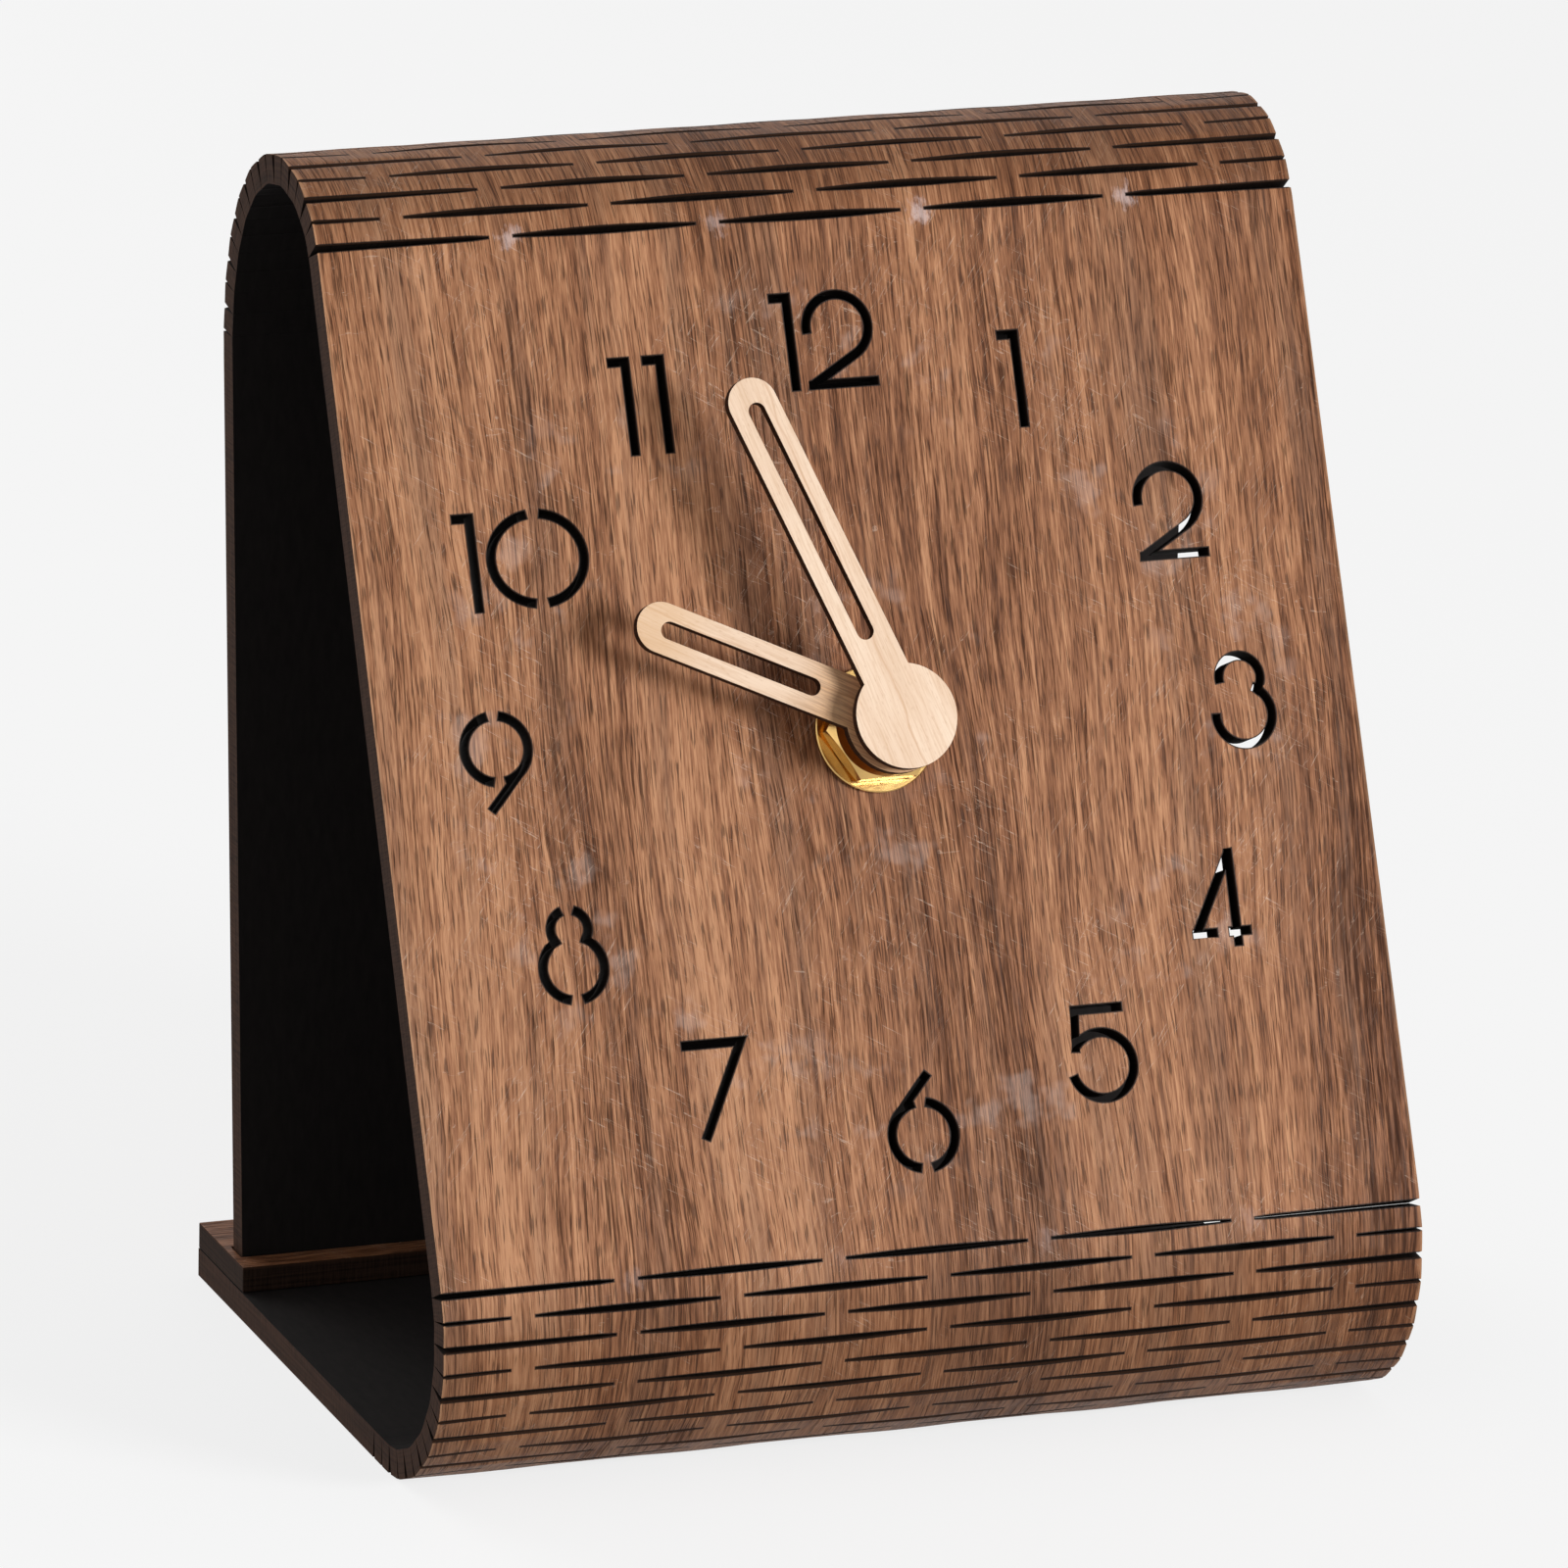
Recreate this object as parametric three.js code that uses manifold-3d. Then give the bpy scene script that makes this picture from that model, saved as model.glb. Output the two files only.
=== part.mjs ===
// A desk clock made of one bent wooden board, with a quartz movement behind its face.
// Millimetres, +Z up, X across the board, Y towards the back.
// The origin is on the resting face, in the middle of the flat base.
import * as THREE from 'three';
import { mergeVertices } from 'three/addons/utils/BufferGeometryUtils.js';
import Module from 'manifold-3d';

const wasm = await Module();
wasm.setup();

// Board
const boardWidth = 140;
const boardThickness = 4;
const faceLength = 140.5;
const faceTiltDegrees = 24.15;
const backLeanDegrees = 1.5;
const panelFootInset = 1.5;

// Kerf rows: short cuts right through the board, which let it bend
const kerfPitch = 3.35;
const bottomBendRows = 13;
const topBendRows = 18;
const flatBaseRows = 2;
const topTighteningShare = 0.49;
const kerfPeriod = 29.4;
const kerfBridge = 3.5;
const kerfWidth = 0.45;
const kerfEdgeWidth = 0.4;

// Foot bar: the wood in front of its slot and behind it
const footBarFrontRail = 4.5;
const footBarRearRail = 11.298;
const footBarThickness = 3.7;
const slotClearance = 0.3;
const glueLine = 0.1;

// Numerals
const numeralHeight = 13.3;
const numeralStroke = 1.15;
const dialMargin = 9.95;
const letterGap = 0.6;
const elevenGap = 1.9;
const arcStepDegrees = 24;

// Hands
const handThickness = 1.5;
const handArmWidth = 7;
const handHubRadius = 7.15;
const handSlotWidth = 2.4;
const handSlotStart = 12.6;
const minuteHandGap = 7;
const handsGap = 0.5;
const minuteHandDegrees = 20.5;
const hourHandGap = 18.6;
const hourHandDegrees = 64.6;
const bushWall = 0.75;
const bushCapThickness = 0.5;
const minuteBushLength = 2;
const hourBushLength = 1.3;

// Clearances
const seatGap = 0.3;
const runGap = 0.3;
const overrun = 1;

// Shaft and its fixings
const washerRadius = 8.6;
const washerThickness = 0.8;
const nutAcrossFlats = 14;
const nutThickness = 3;
const nutChamfer = 0.5;
const bushingWall = 1.15;
const bushingBeyondNut = 1.8;
const hourPipeWall = 0.6;
const minutePipeWall = 0.9;
const secondsArborRadius = 0.45;
const rubberRadius = 10;
const rubberThickness = 1;

// Movement case
const caseCorner = 3;
const caseWall = 1.5;
const caseRib = 1.2;
const wheelClearance = 0.635;
const coilClearance = 0.361;
const pivotHoleDepth = 0.8;
const pivotClearance = 0.15;
const knobRadius = 6.5;
const knobThickness = 2.4;
const knobStemRadius = 0.8;
const knobGrips = 24;
const knobGripDepth = 0.35;
const rimWidth = 1.2;
const rimDepth = 0.8;

// Wheels: teeth of each wheel and its pinion, and the distance between their axes
const motionDistance = 10.5;
const hourTeeth = 32;
const motionPinionTeeth = 8;
const cannonTeeth = 10;
const motionTeeth = 30;
const trainDistance = 10.08;
const centreTeeth = 48;
const thirdPinionTeeth = 6;
const thirdTeeth = 45;
const secondsPinionTeeth = 6;
const secondsTeeth = 30;
const intermediatePinionTeeth = 6;
const intermediateTeeth = 36;
const rotorPinionTeeth = 6;
const rotorDistance = 7.56;
const motionDirectionDegrees = 180;
const thirdDirectionDegrees = 40;
const intermediateDirectionDegrees = 105;
const rotorDirectionDegrees = 75;
const toothTipShare = 0.55;
const toothRootShare = 1;
const toothLandShare = 0.12;
const wheelThickness = 1.2;
const layerPitch = 1.75;
const arborRadius = 0.45;
const hubRadius = 1;

// Stepping motor
const magnetRadius = 2.3;
const magnetThickness = 1.8;
const magnetAirGap = 0.5;
const statorThickness = 0.8;
const statorRing = 2;
const coreLength = 24;
const coreWidth = 2;
const coreThickness = 1;
const bobbinClearance = 0.2;
const bobbinLength = 17;
const bobbinWall = 0.5;
const bobbinFlange = 0.8;
const bobbinFlangeHeight = 5.6;
const windingDepth = 0.6;
const postRadius = 1.2;

// Circuit board
const circuitWidth = 7;
const circuitLength = 26;
const circuitThickness = 0.8;
const circuitHeight = 4;
const crystalRadius = 1;
const crystalLength = 6;
const chipRadius = 2.4;
const chipHeight = 1.1;

// Battery and its contacts
const batteryRadius = 7.25;
const batteryLength = 49;
const batteryNubRadius = 2.75;
const batteryNubLength = 1.2;
const batteryEdge = 0.6;
const contactThickness = 0.4;
const contactWidth = 7;
const contactHeight = 11;
const contactBulge = 0.4;
const batteryClearance = 0.5;
const batterySink = 0.2;

const roundSides = 28;
const smallSides = 12;
const nutSides = 24;

const radians = THREE.MathUtils.degToRad;

// Pipes turn one inside the other, and the bushing round them passes through the board
const minutePipeBore = secondsArborRadius + runGap;
const minutePipeRadius = minutePipeBore + minutePipeWall;
const hourPipeBore = minutePipeRadius + runGap;
const hourPipeRadius = hourPipeBore + hourPipeWall;
const bushingBore = hourPipeRadius + runGap;
const bushingRadius = bushingBore + bushingWall;
const shaftBore = bushingRadius + seatGap;
const bushRadius = hourPipeRadius + seatGap + bushWall;

// Finishes
function finish(color, roughness, metalness) {
  return new THREE.MeshStandardMaterial({ color, roughness, metalness });
}

const finishes = {
  walnut: () => finish(0x8a5d42, 0.6, 0),
  maple: () => finish(0xe8c9a0, 0.55, 0),
  brass: () => finish(0xc79a3c, 0.3, 1),
  steel: () => finish(0x9a9a9c, 0.35, 1),
  copper: () => finish(0xa85a32, 0.4, 1),
  rubber: () => finish(0x1c1c1c, 0.85, 0),
  blackPlastic: () => finish(0x161616, 0.5, 0),
  whitePlastic: () => finish(0xe6e4dc, 0.5, 0),
  circuit: () => finish(0x2f6b3a, 0.5, 0),
  battery: () => finish(0x3c4a5c, 0.4, 0.4),
};

// Solids
function solidOf(geometry) {
  const bare = geometry.index ? geometry.toNonIndexed() : geometry.clone();
  bare.deleteAttribute('normal');
  bare.deleteAttribute('uv');
  const merged = mergeVertices(bare);
  return new wasm.Manifold(new wasm.Mesh({
    numProp: 3,
    vertProperties: new Float32Array(merged.attributes.position.array),
    triVerts: new Uint32Array(merged.index.array),
  }));
}

function geometryOf(solid) {
  const mesh = solid.getMesh();
  const geometry = new THREE.BufferGeometry();
  const positions = new Float32Array(mesh.vertProperties);
  geometry.setAttribute('position', new THREE.BufferAttribute(positions, mesh.numProp));
  geometry.setIndex(new THREE.BufferAttribute(new Uint32Array(mesh.triVerts), 1));
  const flat = geometry.toNonIndexed();
  flat.computeVertexNormals();
  return flat;
}

const vectors = (points) => points.map(([x, y]) => new THREE.Vector2(x, y));

// An outline in the XY plane, pushed from one height up to another
function prism(points, low, high, holes = []) {
  const shape = new THREE.Shape(vectors(points));
  holes.forEach((hole) => shape.holes.push(new THREE.Path(vectors(hole))));
  const geometry = new THREE.ExtrudeGeometry(shape, { depth: high - low, bevelEnabled: false });
  geometry.translate(0, 0, low);
  return geometry;
}

function circle(radius, sides = roundSides, x = 0, y = 0) {
  return Array.from({ length: sides }, (_, i) => {
    const angle = (2 * Math.PI * i) / sides;
    return [x + radius * Math.cos(angle), y + radius * Math.sin(angle)];
  });
}

function rectangle(width, height, x = 0, y = 0) {
  return [[x - width / 2, y - height / 2], [x + width / 2, y - height / 2],
    [x + width / 2, y + height / 2], [x - width / 2, y + height / 2]];
}

function roundedRectangle(width, height, corner, steps, x = 0, y = 0) {
  const points = [];
  [[1, -1, -90], [1, 1, 0], [-1, 1, 90], [-1, -1, 180]].forEach(([sx, sy, start]) => {
    for (let i = 0; i <= steps; i += 1) {
      const angle = radians(start + (90 * i) / steps);
      points.push([x + sx * (width / 2 - corner) + corner * Math.cos(angle),
        y + sy * (height / 2 - corner) + corner * Math.sin(angle)]);
    }
  });
  return points;
}

function tube(outer, bore, low, high, sides = roundSides) {
  return prism(circle(outer, sides), low, high, [circle(bore, sides)]);
}

function rod(radius, low, high, sides = smallSides, x = 0, y = 0) {
  return prism(circle(radius, sides, x, y), low, high);
}

function join(...geometries) {
  return geometries.map(solidOf).reduce((whole, next) => whole.add(next));
}

function cut(solid, ...geometries) {
  return geometries.reduce((left, geometry) => left.subtract(solidOf(geometry)), solid);
}

const clock = new THREE.Group();

function piece(name, shape, material, parent = clock) {
  const geometry = shape.isBufferGeometry ? shape : geometryOf(shape);
  const mesh = new THREE.Mesh(geometry, material());
  mesh.name = name;
  parent.add(mesh);
  return mesh;
}

// The path of the board's middle, seen from the side. It runs from the rear edge of the base,
// round the bottom bend, up the face, over the top and down to the foot of the back panel.
const faceTilt = radians(faceTiltDegrees);
const backLean = radians(backLeanDegrees);
const bottomTurn = Math.PI / 2 + faceTilt;
const topTurn = Math.PI - faceTilt + backLean;
const stepAlong = (point, heading, distance) => ({
  y: point.y + distance * Math.cos(heading),
  z: point.z + distance * Math.sin(heading),
});

// The top bend is tightest next to the face and eases off towards the back panel
function topRowTurn(row) {
  const even = topTurn / topBendRows;
  return even * (1 + topTighteningShare * (1 - (2 * row) / (topBendRows - 1)));
}

function walkBoard(base) {
  const corners = [];
  const rows = [];
  let heading = Math.PI;
  let point = { y: base / 2, z: boardThickness / 2 };
  const advance = (distance) => {
    point = stepAlong(point, heading, distance);
  };
  const turnRow = (turn, band) => {
    const station = { ...point, heading: heading - turn / 2, turn, band };
    rows.push(station);
    if (turn > 0) corners.push(station);
    heading -= turn;
  };
  corners.push({ ...point, heading, turn: 0 });
  advance(base);
  for (let row = 0; row < flatBaseRows + bottomBendRows; row += 1) {
    if (row > 0) advance(kerfPitch);
    turnRow(row < flatBaseRows ? 0 : bottomTurn / bottomBendRows, 'bottom');
  }
  const faceLow = point;
  const faceHeading = heading;
  advance(faceLength);
  for (let row = 0; row < topBendRows; row += 1) {
    if (row > 0) advance(kerfPitch);
    turnRow(topRowTurn(row), 'top');
  }
  const panelTop = point;
  const footHeight = boardThickness + glueLine + (boardThickness / 2) * Math.sin(backLean);
  advance((panelTop.z - footHeight) / Math.cos(backLean));
  corners.push({ ...point, heading, turn: 0 });
  return { corners, rows, faceLow, faceHeading, panelTop, panelFoot: point, panelHeading: heading };
}

// The panel's foot stands in the foot bar's slot, and the base ends with the bar behind it
const leanRun = Math.tan(backLean) * boardThickness;
const slotWidth = boardThickness + leanRun + 2 * slotClearance;
const panelFromBend = walkBoard(0).panelFoot.y + leanRun / 2;
const baseLength = panelFromBend + slotWidth / 2 + footBarRearRail;
const board = walkBoard(baseLength);
const outward = (heading) => ({ y: -Math.sin(heading), z: Math.cos(heading) });

function boardOutline() {
  const side = (offset) => board.corners.map(({ y, z, heading, turn }) => {
    const normal = outward(heading);
    const reach = offset / Math.cos(turn / 2);
    return [y + reach * normal.y, z + reach * normal.z];
  });
  return [...side(boardThickness / 2).reverse(), ...side(-boardThickness / 2)];
}

// Places a prism drawn in a sheet plane: x across, y along the sheet, z out of its outer face
function sheetFrame({ y, z, heading }) {
  const across = new THREE.Vector3(1, 0, 0);
  const along = new THREE.Vector3(0, Math.cos(heading), Math.sin(heading));
  const out = new THREE.Vector3(0, outward(heading).y, outward(heading).z);
  return new THREE.Matrix4().makeBasis(across, along, out).setPosition(0, y, z);
}

const throughLow = -boardThickness / 2 - overrun;
const throughHigh = boardThickness / 2 + overrun;

// A row of cuts, each a long lens with pointed ends. The last one on each side runs out of the
// board's edge, wide open where the row starts with a cut in the middle and fine where it doesn't.
function kerfOutlines(startsAtBridge, width) {
  const half = width / 2;
  const length = kerfPeriod - kerfBridge;
  const edge = boardWidth / 2 + overrun;
  const edgeHalf = startsAtBridge ? kerfEdgeWidth / 2 : half;
  const centres = [];
  for (let x = startsAtBridge ? kerfPeriod / 2 : 0; x + length / 2 < boardWidth / 2; x += kerfPeriod) {
    centres.push(x);
    if (x > 0) centres.push(-x);
  }
  const outlines = centres.map((x) => [[x - length / 2, 0], [x, -half], [x + length / 2, 0], [x, half]]);
  const tip = Math.max(...centres) + length / 2 + kerfBridge;
  if (tip < boardWidth / 2) {
    outlines.push([[tip, 0], [edge, -edgeHalf], [edge, edgeHalf]]);
    outlines.push([[-tip, 0], [-edge, edgeHalf], [-edge, -edgeHalf]]);
  }
  return outlines;
}

// Rows alternate, so that each cut lies beside a bridge. A cut gapes as its row turns.
function kerfCuts() {
  const cuts = [];
  ['bottom', 'top'].forEach((band) => {
    const rows = board.rows.filter((row) => row.band === band);
    const nextToFace = band === 'bottom' ? rows.length - 1 : 0;
    rows.forEach((row, i) => {
      const width = kerfWidth + boardThickness * Math.tan(row.turn / 2);
      const startsAtBridge = Math.abs(i - nextToFace) % 2 === 1;
      kerfOutlines(startsAtBridge, width).forEach((outline) => {
        cuts.push(prism(outline, throughLow, throughHigh).applyMatrix4(sheetFrame(row)));
      });
    });
  });
  return cuts;
}

// The back panel narrows a little towards its foot, so that it drops into the foot bar's slot
function panelTapers() {
  const frame = sheetFrame({ ...board.panelTop, heading: board.panelHeading });
  const run = Math.hypot(board.panelFoot.y - board.panelTop.y, board.panelFoot.z - board.panelTop.z);
  const edge = boardWidth / 2;
  const inset = panelFootInset * ((run + overrun) / run);
  return [1, -1].map((side) => {
    const wedge = [[side * edge, kerfPitch], [side * (edge - inset), run + overrun],
      [side * (edge + overrun), run + overrun], [side * (edge + overrun), kerfPitch]];
    const points = side > 0 ? wedge.reverse() : wedge;
    return prism(points, throughLow, throughHigh).applyMatrix4(frame);
  });
}

// Numerals are drawn as pen strokes of one width. Paths are in shares of the numeral's height,
// from its middle.
const strokeShare = numeralStroke / numeralHeight;
const halfStrokeShare = strokeShare / 2;

function arc(x, y, radiusX, radiusY, start, end) {
  const steps = Math.max(2, Math.ceil(Math.abs(end - start) / arcStepDegrees));
  return Array.from({ length: steps + 1 }, (_, i) => {
    const angle = radians(start + ((end - start) * i) / steps);
    return [x + radiusX * Math.cos(angle), y + radiusY * Math.sin(angle)];
  });
}

const degreesOf = (value) => THREE.MathUtils.radToDeg(value);

// The angle on a circle where a straight line from a point touches it, on the given side
function tangentDegrees(px, py, x, y, radius, side) {
  const distance = Math.hypot(px - x, py - y);
  return degreesOf(Math.atan2(py - y, px - x)) + side * degreesOf(Math.acos(radius / distance));
}

// Two bowls on one upright line cross at these angles, seen from each centre
function bowlCrossing(upper, lower, distance) {
  const drop = (distance ** 2 + upper ** 2 - lower ** 2) / (2 * distance);
  return {
    upper: -degreesOf(Math.asin(drop / upper)),
    lower: degreesOf(Math.asin((distance - drop) / lower)),
  };
}

const capShare = 0.5;
const top = capShare - halfStrokeShare;
const foot = -top;

function glyphOne() {
  const widthShare = 0.227;
  const shiftShare = -0.05;
  const flag = shiftShare - widthShare / 2;
  const stem = shiftShare + widthShare / 2 - halfStrokeShare;
  return { halfWidth: widthShare / 2, strokes: [[[flag, top], [stem, top], [stem, -capShare]]] };
}

function glyphTwo() {
  const outerShare = 0.376;
  const footEndShare = 0.33;
  const radius = outerShare - halfStrokeShare;
  const y = capShare - outerShare;
  const leave = tangentDegrees(-footEndShare, foot, 0, y, radius, 1);
  return {
    halfWidth: outerShare,
    strokes: [
      [...arc(0, y, radius, radius, 188, leave), [-footEndShare, foot]],
      [[-outerShare, foot], [outerShare, foot]],
    ],
  };
}

function glyphThree() {
  const upperShare = 0.269;
  const lowerShare = 0.348;
  const cuspDegrees = 12;
  const upper = upperShare - halfStrokeShare;
  const lower = lowerShare - halfStrokeShare;
  const meet = bowlCrossing(upper, lower, 1 - upperShare - lowerShare);
  return {
    halfWidth: lowerShare,
    strokes: [
      arc(0, capShare - upperShare, upper, upper, 190, meet.upper - cuspDegrees),
      arc(0, lowerShare - capShare, lower, lower, meet.lower + cuspDegrees, -185),
    ],
  };
}

function glyphFour() {
  const halfWidthShare = 0.317;
  const stemShare = 0.168;
  const barShare = -0.351;
  const bridgeLeftShare = -0.05;
  const bridgeRightShare = 0.08;
  const cornerShare = 0.275;
  return {
    halfWidth: halfWidthShare,
    strokes: [
      [[stemShare, capShare], [stemShare, -capShare]],
      [[stemShare, top], [-cornerShare, barShare]],
      [[-halfWidthShare, barShare], [bridgeLeftShare, barShare]],
      [[bridgeRightShare, barShare], [halfWidthShare, barShare]],
    ],
  };
}

function glyphFive() {
  const bowlShare = 0.379;
  const barRightShare = 0.28;
  const barLeftShare = -0.235;
  const stemFootShare = -0.27;
  const stemEndShare = 0.035;
  const radius = bowlShare - halfStrokeShare;
  return {
    halfWidth: bowlShare,
    strokes: [
      [[barRightShare, top], [barLeftShare, top], [stemFootShare, stemEndShare]],
      arc(0, bowlShare - capShare, radius, radius, 138, -165),
    ],
  };
}

function glyphSix() {
  const bowlShare = 0.379;
  const tailShare = 0.12;
  const halfBridgeShare = 0.062;
  const radius = bowlShare - halfStrokeShare;
  const y = bowlShare - capShare;
  const gap = degreesOf(Math.asin(halfBridgeShare / radius));
  const touch = radians(tangentDegrees(tailShare, capShare, 0, y, radius, 1));
  return {
    halfWidth: bowlShare,
    strokes: [
      arc(0, y, radius, radius, 90 + gap, 270 - gap),
      arc(0, y, radius, radius, -90 + gap, 90 - gap),
      [[tailShare, capShare], [radius * Math.cos(touch), y + radius * Math.sin(touch)]],
    ],
  };
}

function glyphSeven() {
  const barLeftShare = -0.44;
  const cornerShare = 0.185;
  const footShare = -0.295;
  return {
    halfWidth: -barLeftShare,
    strokes: [[[barLeftShare, top], [cornerShare, top], [footShare, -capShare]]],
  };
}

function glyphEight() {
  const upperShare = 0.241;
  const lowerShare = 0.366;
  const halfBridgeShare = 0.065;
  const cuspDegrees = 8;
  const upper = upperShare - halfStrokeShare;
  const lower = lowerShare - halfStrokeShare;
  const meet = bowlCrossing(upper, lower, 1 - upperShare - lowerShare);
  const upperGap = degreesOf(Math.asin(halfBridgeShare / upper));
  const lowerGap = degreesOf(Math.asin(halfBridgeShare / lower));
  const right = [
    arc(0, capShare - upperShare, upper, upper, 90 - upperGap, meet.upper - cuspDegrees),
    arc(0, lowerShare - capShare, lower, lower, meet.lower + cuspDegrees, -90 + lowerGap),
  ];
  const left = right.map((stroke) => stroke.map(([x, y]) => [-x, y]));
  return { halfWidth: lowerShare, strokes: [...right, ...left] };
}

function glyphNine() {
  const six = glyphSix();
  const strokes = six.strokes.map((stroke) => stroke.map(([x, y]) => [-x, -y]));
  return { halfWidth: six.halfWidth, strokes };
}

function glyphZero() {
  const halfWidthShare = 0.535;
  const halfBridgeShare = 0.068;
  const radiusX = halfWidthShare - halfStrokeShare;
  const gap = degreesOf(Math.asin(halfBridgeShare / radiusX));
  return {
    halfWidth: halfWidthShare,
    strokes: [
      arc(0, 0, radiusX, top, 90 + gap, 270 - gap),
      arc(0, 0, radiusX, top, -90 + gap, 90 - gap),
    ],
  };
}

const glyphs = [glyphZero(), glyphOne(), glyphTwo(), glyphThree(), glyphFour(), glyphFive(),
  glyphSix(), glyphSeven(), glyphEight(), glyphNine()];

// The outline of a pen stroke: its path moved half a stroke to each side, with mitred corners
function strokeOutline(path, width) {
  const edge = (side) => path.map(([x, y], i) => {
    const [px, py] = path[Math.max(i - 1, 0)];
    const [nx, ny] = path[Math.min(i + 1, path.length - 1)];
    const before = Math.atan2(y - py, x - px);
    const after = Math.atan2(ny - y, nx - x);
    const a = i > 0 ? before : after;
    const b = i < path.length - 1 ? after : before;
    const turn = Math.atan2(Math.sin(b - a), Math.cos(b - a));
    const normal = a + turn / 2 + Math.PI / 2;
    const reach = (side * width) / 2 / Math.cos(turn / 2);
    return [x + reach * Math.cos(normal), y + reach * Math.sin(normal)];
  });
  return [...edge(-1), ...edge(1).reverse()];
}

// The ring of numerals leaves a margin to the nearer edges of the face
const numeralRingRadius = Math.min(faceLength, boardWidth) / 2 - numeralHeight / 2 - dialMargin;

// All the strokes of the twelve hours, in millimetres on the face
function numeralStrokes() {
  const strokes = [];
  for (let hour = 1; hour <= 12; hour += 1) {
    const digits = String(hour).split('').map((digit) => glyphs[Number(digit)]);
    const gap = hour === 11 ? elevenGap : letterGap;
    const widths = digits.map((digit) => 2 * digit.halfWidth * numeralHeight);
    const total = widths.reduce((sum, width) => sum + width, 0) + gap * (digits.length - 1);
    const angle = radians(30 * hour);
    const centreX = numeralRingRadius * Math.sin(angle);
    const centreY = numeralRingRadius * Math.cos(angle);
    let left = centreX - total / 2;
    digits.forEach((digit, i) => {
      const x = left + widths[i] / 2;
      digit.strokes.forEach((path) => {
        strokes.push(path.map(([px, py]) => [x + px * numeralHeight, centreY + py * numeralHeight]));
      });
      left += widths[i] + gap;
    });
  }
  return strokes;
}

// The middle of the face, on the board's middle plane and on its outer surface
const faceMiddle = stepAlong(board.faceLow, board.faceHeading, faceLength / 2);
const faceNormal = outward(board.faceHeading);

function bentBoard() {
  const extruded = prism(boardOutline(), -boardWidth / 2, boardWidth / 2);
  const turned = new THREE.Matrix4().makeBasis(
    new THREE.Vector3(0, 1, 0),
    new THREE.Vector3(0, 0, 1),
    new THREE.Vector3(1, 0, 0),
  );
  extruded.applyMatrix4(turned);
  const faceFrame = sheetFrame({ ...faceMiddle, heading: board.faceHeading });
  const numerals = numeralStrokes().map((path) => {
    const cutter = prism(strokeOutline(path, numeralStroke), throughLow, throughHigh);
    return cutter.applyMatrix4(faceFrame);
  });
  const shaftHole = rod(shaftBore, throughLow, throughHigh, roundSides).applyMatrix4(faceFrame);
  return cut(solidOf(extruded), ...kerfCuts(), ...panelTapers(), ...numerals, shaftHole);
}

piece('bent_board', bentBoard(), finishes.walnut);

// The foot bar lies on the rear of the base and holds the back panel's foot in its slot
const barLow = boardThickness + glueLine;
const barHigh = barLow + footBarThickness;
const barRear = baseLength / 2;
const panelAtBar = board.panelFoot.y + leanRun / 2;
const barDepth = footBarFrontRail + slotWidth + footBarRearRail;
const slotLength = boardWidth - 2 * panelFootInset + 2 * slotClearance;

function footBar() {
  const outline = rectangle(boardWidth, barDepth, 0, barRear - barDepth / 2);
  const slotOutline = rectangle(slotLength, slotWidth, 0, panelAtBar);
  const slot = prism(slotOutline, barLow - overrun, barHigh + overrun);
  return cut(solidOf(prism(outline, barLow, barHigh)), slot);
}

piece('foot_bar', footBar(), finishes.walnut);

// Everything on the shaft is drawn in the dial's own frame: z points out of the face
const dial = new THREE.Group();
const faceLift = boardThickness / 2;
dial.position.set(0, faceMiddle.y + faceNormal.y * faceLift, faceMiddle.z + faceNormal.z * faceLift);
dial.rotation.x = Math.PI / 2 - faceTilt;
clock.add(dial);

// Heights along the shaft, from the face's outer surface
const washerLow = seatGap;
const nutLow = washerLow + washerThickness + seatGap;
const nutHigh = nutLow + nutThickness;
const bushingReach = nutHigh + bushingBeyondNut;
const hourBushLow = bushingReach + runGap;
const hourBushHigh = hourBushLow + hourBushLength;
const hourHandHeight = hourBushHigh + glueLine;
const pipeTop = hourHandHeight + handThickness;
const minuteBushLow = pipeTop + handsGap;
const minuteBushHigh = minuteBushLow + minuteBushLength;
const minuteHandHeight = minuteBushHigh + glueLine;
const rubberHigh = -boardThickness - seatGap;
const rubberLow = rubberHigh - rubberThickness;
const caseHigh = rubberLow - seatGap;
const caseFloor = caseHigh - caseWall;

// Wheels lie in layers behind the case's floor
const layers = ['hour', 'motion', 'centre', 'third', 'seconds', 'rotor'];
const layerTop = (layer) => caseFloor - seatGap - layers.indexOf(layer) * layerPitch;
const layerLow = (layer) => layerTop(layer) - wheelThickness;

// The magnet of the stepping motor turns in the middle of its layer, and the coil lies behind it
const magnetMiddle = (layerTop('seconds') + layerLow('seconds')) / 2;
const statorHigh = magnetMiddle + statorThickness / 2;
const statorLow = magnetMiddle - statorThickness / 2;
const coreHigh = statorLow - seatGap;
const coreLow = coreHigh - coreThickness;
const coreMiddle = (coreHigh + coreLow) / 2;

// The case is as deep as its battery, or as its wheels or coil with the cover behind them
const batteryZ = caseFloor - seatGap - batteryRadius;
const behindBattery = batteryZ - batteryRadius - batterySink;
const behindWorks = Math.min(layerLow('rotor'), coreMiddle - bobbinFlangeHeight / 2) - runGap;
const caseLow = Math.min(behindBattery, behindWorks - caseWall);
const coverHigh = caseLow + caseWall;

// Fixings
const washerHigh = washerLow + washerThickness;
piece('brass_washer', tube(washerRadius, shaftBore, washerLow, washerHigh), finishes.brass, dial);

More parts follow.
